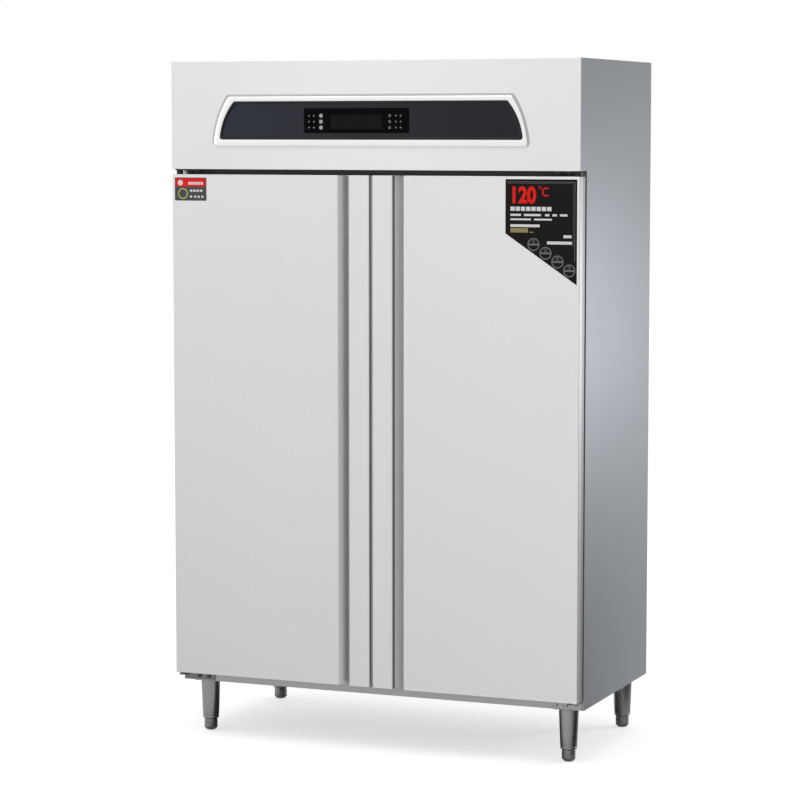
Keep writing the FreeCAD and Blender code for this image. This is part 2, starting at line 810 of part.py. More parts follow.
def panel_bezel():
    """Raised frame round the glass, with a broad rounding outside and a fine one inside."""
    bezel = node("panel_bezel")
    outer = ("bezel_half_top", "bezel_half_low", "bezel_low", "bezel_top")
    add(bezel, "XZ", [panel_outline(*outer, "panel_end_radius + 20")], f"{FRONT} - bezel_proud", FRONT)
    soften(bezel, "bezel_corner", edges_along("Y", *panel_corners(*outer)))
    soften(bezel, "bezel_proud - 2", edges_on("Y", f"{FRONT} - bezel_proud"))
    inner = ("glass_half_top + panel_gap", "glass_half_low + panel_gap",
             "glass_low - panel_gap", "glass_top + panel_gap")
    cut(bezel, "XZ", [panel_outline(*inner, "panel_end_radius")], f"{FRONT} - bezel_proud", FRONT)
    soften(bezel, "glass_corner", edges_along("Y", *panel_corners(*inner)))


def control_glass():
    """Black glass inside the bezel, cut out round the display module."""
    glass = node("control_glass")
    outline = ("glass_half_top", "glass_half_low", "glass_low", "glass_top")
    window = rectangle("module_centre - module_half_width - panel_gap",
                       "module_centre + module_half_width + panel_gap",
                       "module_level - module_half_height - panel_gap",
                       "module_level + module_half_height + panel_gap")
    add(glass, "XZ", [panel_outline(*outline, "panel_end_radius"), window],
        f"{FRONT} - glass_thickness", FRONT)
    soften(glass, "glass_corner", edges_along("Y", *panel_corners(*outline)))


def key_places():
    """Three rows of keys on both sides of the window, from the top left."""
    return [(column, f"key_level - {row} * key_pitch")
            for column in ("left_keys", "right_keys") for row in (-1, 0, 1)]


def display_module():
    """Housing with a window and six key holes; its wall stands a little proud of the glass."""
    housing = node("display_housing")
    face, wall = f"{FRONT} - module_proud", f"{FRONT} - module_proud + module_wall"
    back = f"{FRONT} + module_depth"
    left, right = "module_centre - module_half_width", "module_centre + module_half_width"
    low, high = "module_level - module_half_height", "module_level + module_half_height"
    add(housing, "XZ", [rectangle(left, right, low, high)], face, back)
    corners = [(across, up) for across in (left, right) for up in (low, high)]
    soften(housing, "module_corner", edges_along("Y", *corners))
    hollow(housing, "module_wall", ("Y", back))
    view = rectangle("window_left", "window_right", "window_low", "window_high")
    half = "(key_half + key_clearance)"
    holes = [rectangle(f"{across} - {half}", f"{across} + {half}", f"{up} - {half}",
                       f"{up} + {half}") for across, up in key_places()]
    cut(housing, "XZ", [view, *holes], face, wall)

    window = node("display_window")
    add(window, "XZ", [view], f"{face} + window_recess", wall)
    flange = rectangle("window_left - 3", "window_right + 3", "window_low - 3", "window_high + 3")
    add(window, "XZ", [flange], wall, f"{wall} + window_recess")

    board = node("control_board")
    front = f"{FRONT} + board_behind_face"
    add(board, "XZ", [rectangle(f"{left} + 4", f"{right} - 4", f"{low} + 4", f"{high} - 4")],
        front, f"{front} + 1.6")
    add(board, "XZ", [rectangle("window_left", "window_right", "window_low", "window_high")],
        f"{wall} + window_recess", front)
    switches = [rectangle(f"{across} - 3", f"{across} + 3", f"{up} - 3", f"{up} + 3")
                for across, up in key_places()]
    add(board, "XZ", switches, f"{front} - 1.5", front)
    add(board, "XZ", [rectangle("module_centre - 60", "module_centre + 60", f"{low} + 10", f"{low} + 20")],
        f"{front} + 1.6", f"{front} + 12")


def keys():
    """Six square keys, each held behind the housing's wall by its own wider flange."""
    flange_front = f"{FRONT} - module_proud + module_wall + key_clearance"
    for number, (across, up) in enumerate(key_places(), start=1):
        key = node(f"key_{number}")
        for half, front, back in (("key_half", f"{FRONT} - key_proud", flange_front),
                                  ("key_flange_half", flange_front, f"{flange_front} + 1.5")):
            outline = rectangle(f"{across} - {half}", f"{across} + {half}",
                                f"{up} - {half}", f"{up} + {half}")
            add(key, "XZ", [outline], front, back)
        corners = [(f"{across} + {x} * key_half", f"{up} + {z} * key_half")
                   for x in (-1, 1) for z in (-1, 1)]
        soften(key, "1.2", edges_along("Y", *corners), "Chamfer")


def mains():
    """Power module on the back panel's inside, and the gland that the mains lead passes."""
    module = node("power_module")
    inside = f"{BACK} - outer_sheet"
    add(module, "XZ", [rectangle("280", "460", "1700", "1840")], f"{inside} - 52", inside)
    fin = add(module, "XZ", [rectangle("290", "293", "1710", "1830")], f"{inside} - 70", f"{inside} - 52")
    repeat(module, [fin], "X", "15.7", 11)

    gland = node("cable_gland")
    low, high = f"{inside} - 6", f"{BACK} + gland_proud"
    through = {"plane": "XZ", "centre": ("gland_place", "gland_level")}
    rod(gland, "Additive", "gland_thread", low, high, **through)
    rod(gland, "Additive", "gland_thread * 1.5", low, inside, sides=6, **through)
    rod(gland, "Additive", "gland_thread * 1.5", BACK, f"{BACK} + gland_proud / 2", sides=6, **through)
    rod(gland, "Subtractive", "gland_bore", low, high, **through)


# ---------------------------------------------------------------- hinges

def hinges():
    """Pins on the header's underside and on brackets below the doors, left and right alike."""
    outer = f"-({SIDE} - leaf_inset)"
    pin = ("-" + PIVOT, PIVOT_Y)
    under = "header_bottom - leaf_thickness"
    upper = body_named("upper_hinge")
    plate = rectangle(outer, f"{outer} + leaf_width", f"{PIVOT_Y} - 14", f"{PIVOT_Y} + 24")
    add(upper, "XY", [plate], under, "header_bottom")
    add(upper, "XY", [circle(*pin, "collar_radius")], "door_top + seal_gap", under)
    add(upper, "XY", [circle(*pin, "pin_radius")], "door_top - pin_length", under)
    corners = [(across, along) for across in (outer, f"{outer} + leaf_width")
               for along in (f"{PIVOT_Y} - 14", f"{PIVOT_Y} + 24")]
    soften(upper, "5", upright_edges(*corners), "Chamfer")
    group("upper_hinges", [upper, mirror_image("upper_hinge_right", upper, keep=False)])

    top = "door_bottom - hinge_drop"
    lower = body_named("lower_hinge")
    leaf = rectangle(outer, f"{outer} + lower_leaf_width", f"{PIVOT_Y} - 13", FRAME)
    add(lower, "XY", [leaf], f"{top} - leaf_thickness", top)
    flange = rectangle(outer, f"{outer} + lower_flange_width", "body_bottom + 3", top)
    add(lower, "XZ", [flange], f"{FRAME} - leaf_thickness", FRAME)
    add(lower, "XY", [circle(*pin, "collar_radius")], top, "door_bottom - seal_gap")
    add(lower, "XY", [circle(*pin, "pin_radius")], top, "door_bottom + pin_length")
    soften(lower, "6", upright_edges((outer, f"{PIVOT_Y} - 13"),
                                     (f"{outer} + lower_leaf_width", f"{PIVOT_Y} - 13")), "Chamfer")
    slots = [rectangle(f"{outer} + {start}", f"{outer} + {start + 14}", "body_bottom + 9",
                       "body_bottom + 16") for start in (40, 70)]
    cut(lower, "XZ", slots, f"{FRAME} - leaf_thickness", FRAME)
    group("lower_hinges", [lower, mirror_image("lower_hinge_right", lower, keep=False)])


# ---------------------------------------------------------------- doors

def door_skin():
    """Folded sheet, open to the liner, with a full-height finger channel beside its free edge.

    The channel's outer flank leads in over a small rounding, slopes down at half a right angle
    and levels out at the floor; the flank at the edge strip is square, so that fingers hook
    behind it. Both roundings turn through an eighth of a circle.
    """
    skin = node("left_door_skin")
    outer, inner = f"-{SIDE}", "-door_half_gap"
    floor = f"{FRONT} + grip_depth"
    lead, sweep = "grip_lead_radius", "grip_sweep_radius"
    start = f"-grip_flank - {lead}"
    profile = [(outer, FRONT), (start, FRONT, lead),
               (f"{start} + {lead} * {EIGHTH_RUN}", f"{FRONT} + {lead} * {EIGHTH_RISE}"),
               (f"-grip_strip_edge - {sweep} * {EIGHTH_RUN}",
                f"{floor} - {sweep} * {EIGHTH_RISE}", f"-{sweep}"),
               ("-grip_strip_edge", floor), ("-grip_strip_edge", FRONT),
               (inner, FRONT), (inner, DOOR_BACK), (outer, DOOR_BACK)]
    add(skin, "XY", [profile], "door_bottom", "door_top")
    soften(skin, "door_corner", upright_edges((outer, FRONT), (inner, FRONT)))
    hollow(skin, "outer_sheet", ("Y", DOOR_BACK))
    for low in ("door_bottom", "door_top - outer_sheet"):
        cut(skin, "XY", [bush_square()], low, f"{low} + outer_sheet")
    mirror_image("right_door_skin", skin)


def bush_square():
    """The bush's outline in plan, which is also the hole in each cap of the left door."""
    return rectangle(f"-{PIVOT} - bush_half", f"-{PIVOT} + bush_half",
                     f"{PIVOT_Y} - bush_half", f"{PIVOT_Y} + bush_half")


def door_bushes():
    """Square plastic bushes let into both caps of the door, running on the hinge pins."""
    bushes = node("left_door_bushes")
    outline = [bush_square(), circle(f"-{PIVOT}", PIVOT_Y, "pin_radius + pin_clearance")]
    for low, high in (("door_bottom", "door_bottom + bush_length"),
                      ("door_top - bush_length", "door_top")):
        add(bushes, "XY", outline, low, high)
    mirror_image("right_door_bushes", bushes)


def door_liner():
    """Inner sheet of the door with a raised field that stands into the cavity's mouth."""
    liner_sheet = node("left_door_liner")
    plate = rectangle(f"-{SIDE} + outer_sheet", "-door_half_gap - outer_sheet",
                      "door_bottom + outer_sheet", "door_top - outer_sheet")
    inside = f"{DOOR_BACK} - inner_sheet"
    add(liner_sheet, "XZ", [plate], inside, DOOR_BACK)
    left = f"-{SIDE} + gasket_outer_inset + gasket_width + emboss_margin"
    right = "-gasket_inner_inset - gasket_width - emboss_margin"
    low = "gasket_bottom + gasket_width + emboss_margin"
    high = "gasket_top - gasket_width - emboss_margin"
    field = f"{DOOR_BACK} + liner_emboss"
    add(liner_sheet, "XZ", [rectangle(left, right, low, high)], inside, field)
    soften(liner_sheet, "liner_emboss - 1", edges_on("Y", field), "Chamfer")
    hollow_field = rectangle(f"{left} + liner_emboss", f"{right} - liner_emboss",
                             f"{low} + liner_emboss", f"{high} - liner_emboss")
    cut(liner_sheet, "XZ", [hollow_field], inside, f"{field} - inner_sheet")
    mirror_image("right_door_liner", liner_sheet)


def door_gasket():
    """Rubber ring on the door's liner that meets the frame and the mullion."""
    gasket = node("left_door_gasket")
    left, right = f"-{SIDE} + gasket_outer_inset", "-gasket_inner_inset"
    ring = rectangle(left, right, "gasket_bottom", "gasket_top")
    hole = rectangle(f"{left} + gasket_width", f"{right} - gasket_width",
                     "gasket_bottom + gasket_width", "gasket_top - gasket_width")
    lip = f"{FRAME} - seal_gap"
    add(gasket, "XZ", [ring, hole], DOOR_BACK, lip)
    soften(gasket, "gasket_width / 4", edges_on("Y", lip), "Chamfer")
    mirror_image("right_door_gasket", gasket)


def door_insulation():
    """Mineral wool slab between the door's skin and its liner."""
    slab = block("left_door_insulation", f"-{SIDE} + outer_sheet + insulation_gap",
                 "-grip_flank - grip_lead_radius - insulation_gap",
                 f"{FRONT} + outer_sheet + insulation_gap",
                 f"{DOOR_BACK} - inner_sheet - insulation_gap",
                 "door_bottom + bush_length + insulation_gap",
                 "door_top - bush_length - insulation_gap")
    slab.Label = "left_door_insulation"
    NODES[slab.Name] = slab
    mirror_image("right_door_insulation", slab)


# ---------------------------------------------------------------- racks

def upright(name, left, right, front, open_side):
    """Slotted channel from the floor to below the duct plate."""
    channel = body_named(name)
    back = f"{front} + upright_width"
    add(channel, "XY", [rectangle(left, right, front, back)], "floor_level", "upright_top")
    hollow(channel, "runner_thickness", (*open_side,), ("Z", "floor_level"), ("Z", "upright_top"))
    middle = f"{front} + upright_width / 2"
    slot = rectangle(f"{middle} - 6", f"{middle} + 6", "first_rack - 160", "first_rack - 148")
    row = cut(channel, "YZ", [slot], left, right)
    repeat(channel, [row], "Z", "slot_pitch", 7)
    return channel


def rack_standards():
    """Six uprights: two on each side wall, and two in the middle that serve both bays."""
    half = "upright_width / 2"
    uprights = []
    for depth, front in (("front", "upright_front"), ("back", "upright_back")):
        uprights += [
            upright(f"left_upright_{depth}", f"-{LINER}", f"-{LINER} + upright_depth", front,
                    ("X", f"-{LINER}")),
            upright(f"right_upright_{depth}", f"{LINER} - upright_depth", LINER, front,
                    ("X", LINER)),
            upright(f"middle_upright_{depth}", f"-{half}", half, front, ("Z", "floor_level")),
        ]
    group("rack_standards", uprights)


def rack_runners():
    """Angles across each pair of uprights, three shelves high on both sides of each bay."""
    runners = node("rack_runners")
    thick, leg = "runner_thickness", "runner_leg"
    outlines = []
    for side in (-1, 1):
        for start, inward in ((f"{LINER} - upright_depth", -1), ("upright_width / 2", 1)):
            foot, inner = f"{side} * ({start})", side * inward
            outlines.append([(foot, f"first_rack - {leg}"),
                             (f"{foot} + {inner} * {thick}", f"first_rack - {leg}"),
                             (f"{foot} + {inner} * {thick}", f"first_rack - {thick}"),
                             (f"{foot} + {inner} * {leg}", f"first_rack - {thick}"),
                             (f"{foot} + {inner} * {leg}", "first_rack"), (foot, "first_rack")])
    row = add(runners, "XZ", outlines, "upright_front", "upright_back + upright_width")
    repeat(runners, [row], "Z", "rack_spacing", 3)


def racks():
    """Flat-bar frames with drawn wires welded in from front to back, over a cross bar."""
    half_width = f"({RACK_OUTER} - {RACK_INNER}) / 2"
    middle = f"({RACK_OUTER} + {RACK_INNER}) / 2"
    for side, name in ((-1, "left"), (1, "right")):
        for shelf in range(3):
            frame = rack_frame(f"{name}_rack_{shelf + 1}_frame", half_width)
            wires = rack_wires(f"{name}_rack_{shelf + 1}_wires", half_width)
            for piece in (frame, wires):
                place(piece, f"{side} * ({middle})", "rack_middle",
                      f"first_rack + {shelf} * rack_spacing")
            group(f"{name}_rack_{shelf + 1}", [frame, wires])


def rack_frame(name, half_width):
    """Four flat bars on edge, and a low cross bar half way back."""
    frame = body_named(name)
    half_depth = "rack_depth / 2"
    outer = rectangle(f"-{half_width}", half_width, f"-{half_depth}", half_depth)
    inner = rectangle(f"-{half_width} + rack_bar", f"{half_width} - rack_bar",
                      f"-{half_depth} + rack_bar", f"{half_depth} - rack_bar")
    add(frame, "XY", [outer, inner], "0", "rack_bar_height")
    add(frame, "XY", [rectangle(f"-{half_width} + rack_bar / 2", f"{half_width} - rack_bar / 2",
                                "-rack_bar", "rack_bar")], "0", "rack_bar_height - wire_radius * 3")
    return frame


def rack_wires(name, half_width):
    """A row of separate wires whose ends meet the front and back bars."""
    wires = body_named(name)
    wires.AllowCompound = True
    pitch = f"({half_width}) * 2 / (wire_count + 1)"
    section = rectangle(f"-{half_width} + {pitch} - wire_radius", f"-{half_width} + {pitch} + wire_radius",
                        "rack_bar_height - wire_radius * 3", "rack_bar_height - wire_radius")
    wire = add(wires, "XZ", [section], "rack_bar - rack_depth / 2", "rack_depth / 2 - rack_bar")
    repeat(wires, [wire], "X", pitch, int(value("wire_count")))
    return wires


# ---------------------------------------------------------------- legs and feet

def leg_places():
    """Name and plan position of each leg."""
    return [(f"{depth}_{name}", f"{side} * ({SIDE} - leg_inset)", f"{FRONT} + {depth}_leg")
            for depth in ("front", "rear") for side, name in ((-1, "left"), (1, "right"))]


def legs():
    """Tapered tubes under square plates, each bored for its foot."""
    pieces = []
    for name, across, along in leg_places():
        leg = body_named(f"{name}_leg")
        leg.BaseFeature = tapered(f"{name}_cone", ("leg_low_radius", "leg_low"),
                                  ("leg_top_radius", "body_bottom - leg_plate"))
        half = "leg_plate_half"
        add(leg, "XY", [rectangle(f"-{half}", half, f"-{half}", half)],
            "body_bottom - leg_plate", "body_bottom")
        rod(leg, "Subtractive", "neck_radius + neck_clearance", "leg_low", "leg_bore_top")
        place(leg, across, along)
        pieces.append(leg)
    group("legs", pieces)


def feet():
    """Levelling feet that screw out of the legs: bevelled sole, straight skirt and long neck."""
    for name, across, along in leg_places():
        foot = node(f"{name}_foot")
        rod(foot, "Additive", "foot_radius", "0", "leg_low - 6")
        soften(foot, "foot_bevel", edges_on("Z", "0"), "Chamfer")
        rod(foot, "Additive", "neck_radius", "leg_low - 6", "neck_top")
        place(foot, across, along)


# ---------------------------------------------------------------- build, check and write

for build in (side_panels, rear_panel, roof_panel, base_pan, header_fascia, door_frame,
              centre_mullion, liner, insulation, rear_air_panel, duct_plate, fan_guard,
              fan_impeller, motor_shaft, fan_motor, heating_element, temperature_probe,
              panel_bezel, control_glass, display_module, keys, mains, hinges, door_skin,
              door_bushes, door_liner, door_gasket, door_insulation, rack_standards,
              rack_runners, racks, legs, feet):
    build()
document.recompute()

for item in document.Objects:
    failed = {"Invalid", "Error"} & set(item.State)
    assert not failed, f"{item.Name} is {item.State}"
for name, piece in NODES.items():
    assert not piece.Shape.isNull() and piece.Shape.isValid(), f"{name} has no valid shape"

os.makedirs("parts", exist_ok=True)
for name, piece in NODES.items():
    piece.Shape.exportStep(f"parts/{name}.step")
print(f"{len(NODES)} sub-parts written")
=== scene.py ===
"""A two-door dish sterilizer cabinet, dressed piece by piece in the order it is put together."""
import math

import bpy
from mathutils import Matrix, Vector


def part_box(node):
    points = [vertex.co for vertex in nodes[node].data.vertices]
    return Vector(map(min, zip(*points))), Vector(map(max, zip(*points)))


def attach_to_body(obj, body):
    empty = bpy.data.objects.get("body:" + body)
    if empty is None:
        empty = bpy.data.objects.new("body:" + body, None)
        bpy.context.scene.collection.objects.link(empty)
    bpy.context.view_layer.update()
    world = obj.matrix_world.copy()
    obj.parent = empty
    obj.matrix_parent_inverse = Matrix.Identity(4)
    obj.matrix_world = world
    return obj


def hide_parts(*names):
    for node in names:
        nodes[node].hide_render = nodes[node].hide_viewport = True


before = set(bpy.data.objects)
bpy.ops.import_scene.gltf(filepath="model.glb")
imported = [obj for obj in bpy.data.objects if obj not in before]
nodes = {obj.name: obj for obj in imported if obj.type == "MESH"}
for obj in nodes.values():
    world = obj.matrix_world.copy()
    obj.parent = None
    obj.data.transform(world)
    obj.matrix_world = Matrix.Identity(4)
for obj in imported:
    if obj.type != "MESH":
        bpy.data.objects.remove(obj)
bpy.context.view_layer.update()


# ---------------------------------------------------------------- the room
# The cabinet stands on a pale studio floor that runs on into a white surround. The floor is
# matt and keeps a soft shadow of the cabinet. The room belongs to no part of the object.

def wire(tree, *pairs):
    """Joins the sockets of a node tree, given as (from, to) pairs."""
    for source, target in pairs:
        tree.links.new(source, target)


def operate(tree, kind, *values):
    """A Math node; each value is a number or a socket, and its result is returned."""
    node = tree.nodes.new("ShaderNodeMath")
    node.operation = kind
    for socket, value in zip(node.inputs, values):
        if isinstance(value, (int, float)):
            socket.default_value = value
        else:
            tree.links.new(value, socket)
    return node.outputs[0]


def new_group(name, inputs, outputs):
    """A node group with named sockets, given as (name, kind) pairs."""
    group = bpy.data.node_groups.new(name, "ShaderNodeTree")
    for direction, sockets in (("INPUT", inputs), ("OUTPUT", outputs)):
        for socket, kind in sockets:
            group.interface.new_socket(socket, in_out=direction, socket_type=f"NodeSocket{kind}")
    return group, group.nodes.new("NodeGroupInput"), group.nodes.new("NodeGroupOutput")


# What metal and glass mirror is a bright wall to the front left, which falls off to a black
# flag at the right, where the round legs turn dark. The group gives its level in a direction.
studio_walls, given, result = new_group("studio_walls", [("Direction", "Vector")],
                                        [("Level", "Float")])
tree = studio_walls
flag = tree.nodes.new("ShaderNodeVectorMath")
flag.operation = "DOT_PRODUCT"
flag.inputs[1].default_value = (0.90, 0.43, 0.0)
turned = operate(tree, "MULTIPLY_ADD", flag.outputs["Value"], 0.5, 0.5)
walls = tree.nodes.new("ShaderNodeValToRGB")
wire(tree, (given.outputs["Direction"], flag.inputs[0]), (turned, walls.inputs["Fac"]),
     (walls.outputs["Color"], result.inputs["Level"]))
for place, level in ((0.40, 0.95), (0.84, 0.60), (0.92, 0.30), (0.97, 0.04)):
    stop = walls.color_ramp.elements.new(place)
    stop.color = (level, level, level, 1)
walls.color_ramp.elements.remove(walls.color_ramp.elements[0])
walls.color_ramp.elements.remove(walls.color_ramp.elements[-1])


def mirrored_walls(tree, direction):
    """The level of the studio's walls in a direction, for glossy rays."""
    node = tree.nodes.new("ShaderNodeGroup")
    node.node_tree = studio_walls
    tree.links.new(direction, node.inputs["Direction"])
    return node.outputs["Level"]


bpy.ops.object.select_all(action="DESELECT")
bpy.ops.mesh.primitive_plane_add(size=60, location=(0, 0, -0.0005))
floor = bpy.context.object
floor.name = "studio_floor"
bpy.ops.object.transform_apply(location=True, rotation=True, scale=True)
paper = bpy.data.materials.new("studio_paper")
paper.use_nodes = True
tree = paper.node_tree
shader = tree.nodes["Principled BSDF"]
shader.inputs["Base Color"].default_value = (0.86, 0.86, 0.86, 1)
shader.inputs["Roughness"].default_value = 0.9
shader.inputs["Specular IOR Level"].default_value = 0.1
path = tree.nodes.new("ShaderNodeLightPath")
glow = tree.nodes.new("ShaderNodeEmission")
both = tree.nodes.new("ShaderNodeAddShader")
wire(tree, (operate(tree, "MULTIPLY", path.outputs["Is Camera Ray"], 0.56),
            glow.inputs["Strength"]),
     (shader.outputs[0], both.inputs[0]), (glow.outputs[0], both.inputs[1]))
# Mirrored in metal, the floor is a painted reflection: an emission that is painted darker towards
# the cabinet's feet, with a painted shadow under its base.
spot = tree.nodes.new("ShaderNodeTexCoord")
offset = tree.nodes.new("ShaderNodeVectorMath")
offset.operation = "SUBTRACT"
offset.inputs[1].default_value = (0.6, -0.3, 0)
away = tree.nodes.new("ShaderNodeVectorMath")
away.operation = "NORMALIZE"
distance = tree.nodes.new("ShaderNodeVectorMath")
distance.operation = "LENGTH"
wire(tree, (spot.outputs["Object"], offset.inputs[0]), (offset.outputs[0], away.inputs[0]),
     (offset.outputs[0], distance.inputs[0]))
SHADE_HALF_WIDTH, SHADE_HALF_DEPTH = 0.66, 0.37
painted_shadow_footprint = tree.nodes.new("ShaderNodeVectorMath")
painted_shadow_footprint.operation = "MULTIPLY"
painted_shadow_footprint.inputs[1].default_value = (1 / SHADE_HALF_WIDTH, 1 / SHADE_HALF_DEPTH, 0)
sides = tree.nodes.new("ShaderNodeSeparateXYZ")
wire(tree, (spot.outputs["Object"], painted_shadow_footprint.inputs[0]), (painted_shadow_footprint.outputs[0], sides.inputs[0]))
reach = operate(tree, "MAXIMUM", operate(tree, "ABSOLUTE", sides.outputs["X"]),
                operate(tree, "ABSOLUTE", sides.outputs["Y"]))


def ranged(tree, value, start, end, low, high):
    """A socket's value taken from one range to another and held at its ends."""
    node = tree.nodes.new("ShaderNodeMapRange")
    for name, number in (("From Min", start), ("From Max", end), ("To Min", low), ("To Max", high)):
        node.inputs[name].default_value = number
    tree.links.new(value, node.inputs["Value"])
    return node.outputs[0]


level = operate(tree, "MULTIPLY", mirrored_walls(tree, away.outputs[0]),
                ranged(tree, distance.outputs["Value"], 0.8, 7.0, 0.72, 0.92))
# Painted shadow: under the cabinet's base the floor's mirrored level falls nearly to black.
level = operate(tree, "MULTIPLY", level, ranged(tree, reach, 0.75, 1.1, 0.06, 1.0))
painted_floor_reflection = tree.nodes.new("ShaderNodeEmission")
choice = tree.nodes.new("ShaderNodeMixShader")
wire(tree, (level, painted_floor_reflection.inputs["Strength"]),
     (path.outputs["Is Glossy Ray"], choice.inputs[0]), (both.outputs[0], choice.inputs[1]),
     (painted_floor_reflection.outputs[0], choice.inputs[2]),
     (choice.outputs[0], tree.nodes["Material Output"].inputs["Surface"]))
floor.data.materials.append(paper)

# The surround is white where it is seen, and what falls on the cabinet as fill light is plain.
world = bpy.data.worlds.new("studio")
bpy.context.scene.world = world
world.use_nodes = True
tree = world.node_tree
surround = tree.nodes["Background"]
surround.inputs["Color"].default_value = (1, 1, 1, 1)
path = tree.nodes.new("ShaderNodeLightPath")
facing = tree.nodes.new("ShaderNodeTexCoord")
mirrored = tree.nodes.new("ShaderNodeMix")
mirrored.inputs["A"].default_value = 0.54
wire(tree, (path.outputs["Is Glossy Ray"], mirrored.inputs["Factor"]),
     (mirrored_walls(tree, facing.outputs["Generated"]), mirrored.inputs["B"]))
plain = tree.nodes.new("ShaderNodeMix")
plain.inputs["B"].default_value = 1.0
seen = operate(tree, "MAXIMUM", path.outputs["Is Camera Ray"], path.outputs["Is Transmission Ray"])
wire(tree, (seen, plain.inputs["Factor"]), (mirrored.outputs[0], plain.inputs["A"]),
     (plain.outputs[0], surround.inputs["Strength"]))

for name, place, turn, size, power, tint in (
        ("overhead", (-0.3, -1.9, 4.3), (34, 0, -7), (3.4, 2.2), 40, (1, 0.995, 0.98)),
        ("front_left", (-3.6, -3.6, 2.5), (68, 0, -45), (1.8, 2.6), 8, (1, 1, 1)),
        ("right_wall", (2.6, 1.9, 1.08), (90, 0, 125), (0.8, 0.8), 19, (0.90, 0.95, 1))):
    lamp = bpy.data.lights.new(name, "AREA")
    lamp.shape = "RECTANGLE"
    lamp.size, lamp.size_y = size
    lamp.energy = power
    lamp.color = tint
    holder = bpy.data.objects.new(name, lamp)
    holder.location = place
    holder.rotation_euler = [math.radians(angle) for angle in turn]
    holder.visible_camera = False
    bpy.context.scene.collection.objects.link(holder)

lens = bpy.data.cameras.new("camera")
lens.lens = 125.7
lens.sensor_width = 36
camera = bpy.data.objects.new("camera", lens)
camera.location = (3.018, -7.5085, 1.753)
camera.rotation_euler = (math.radians(84.5), 0, math.radians(22.18))
bpy.context.scene.collection.objects.link(camera)
bpy.context.scene.camera = camera
bpy.context.scene.view_settings.view_transform = "Standard"


# ---------------------------------------------------------------- outer casing
# Two side panels, a roof and the header are folded from brushed stainless sheet; the back and
# the base are galvanised. The sheets are spot welded along their folded edges.

def noise_of(tree, vector, scale, detail=2.0, roughness=0.5):
    """A noise texture about zero, from -0.5 to 0.5."""
    node = tree.nodes.new("ShaderNodeTexNoise")
    node.inputs["Scale"].default_value = scale
    node.inputs["Detail"].default_value = detail
    node.inputs["Roughness"].default_value = roughness
    tree.links.new(vector, node.inputs["Vector"])
    return operate(tree, "SUBTRACT", node.outputs["Fac"], 0.5)


def tinted(tree, colour, factor):
    """A colour socket multiplied by a grey factor socket."""
    node = tree.nodes.new("ShaderNodeVectorMath")
    node.operation = "SCALE"
    wire(tree, (colour, node.inputs[0]), (factor, node.inputs["Scale"]))
    return node.outputs[0]


FINISH_INPUTS = [("Colour", "Color"), ("Roughness", "Float"), ("Grain", "Float"),
                 ("Stretch", "Vector"), ("Handling", "Float"), ("Edge", "Float"),
                 ("Relief", "Float"), ("Rounding", "Float")]
FINISH_OUTPUTS = [("Colour", "Color"), ("Roughness", "Float"), ("Normal", "Vector")]

# Every hard surface shares one finish: a grain that runs along the sheet, faint smears from
# handling, and edges that are rounder than the flats and painted brighter, partly as rubbed wear
# and partly as a painted highlight.
surface_finish, given, result = new_group("surface_finish", FINISH_INPUTS, FINISH_OUTPUTS)
tree = surface_finish
place = tree.nodes.new("ShaderNodeTexCoord")
along = tree.nodes.new("ShaderNodeMapping")
wire(tree, (place.outputs["Object"], along.inputs["Vector"]),
     (given.outputs["Stretch"], along.inputs["Scale"]))
grain = noise_of(tree, along.outputs[0], 1.0, 5.0, 0.62)
smear = noise_of(tree, place.outputs["Object"], 2.4, 3.0, 0.55)
rounded = tree.nodes.new("ShaderNodeBevel")
rounded.samples = 4
tree.links.new(given.outputs["Rounding"], rounded.inputs["Radius"])
geometry = tree.nodes.new("ShaderNodeNewGeometry")
meet = tree.nodes.new("ShaderNodeVectorMath")
meet.operation = "DOT_PRODUCT"
wire(tree, (rounded.outputs[0], meet.inputs[0]), (geometry.outputs["Normal"], meet.inputs[1]))
edge = operate(tree, "MULTIPLY", operate(tree, "SUBTRACT", 1.0, meet.outputs["Value"]), 3.0)
edge = operate(tree, "MINIMUM", edge, 1.0)
# Painted highlight: the edge mask makes the colour brighter along every edge, partly rubbed wear
# and partly painted light.
edge_wear_and_highlight = operate(tree, "MULTIPLY", edge, operate(tree, "ADD", smear, 0.75))
shade = operate(tree, "MULTIPLY_ADD", grain, given.outputs["Grain"], 1.0)
shade = operate(tree, "MULTIPLY_ADD", smear, given.outputs["Handling"], shade)
shade = operate(tree, "MINIMUM", operate(tree, "MULTIPLY_ADD", edge_wear_and_highlight, given.outputs["Edge"], shade),
                1.3)
matt = operate(tree, "MULTIPLY_ADD", grain, given.outputs["Grain"], given.outputs["Roughness"])
matt = operate(tree, "MULTIPLY_ADD", smear, given.outputs["Handling"], matt)
relief = tree.nodes.new("ShaderNodeBump")
relief.inputs["Distance"].default_value = 0.0002
wire(tree, (grain, relief.inputs["Height"]), (given.outputs["Relief"], relief.inputs["Strength"]),
     (rounded.outputs[0], relief.inputs["Normal"]),
     (tinted(tree, given.outputs["Colour"], shade), result.inputs["Colour"]),
     (matt, result.inputs["Roughness"]), (relief.outputs[0], result.inputs["Normal"]))


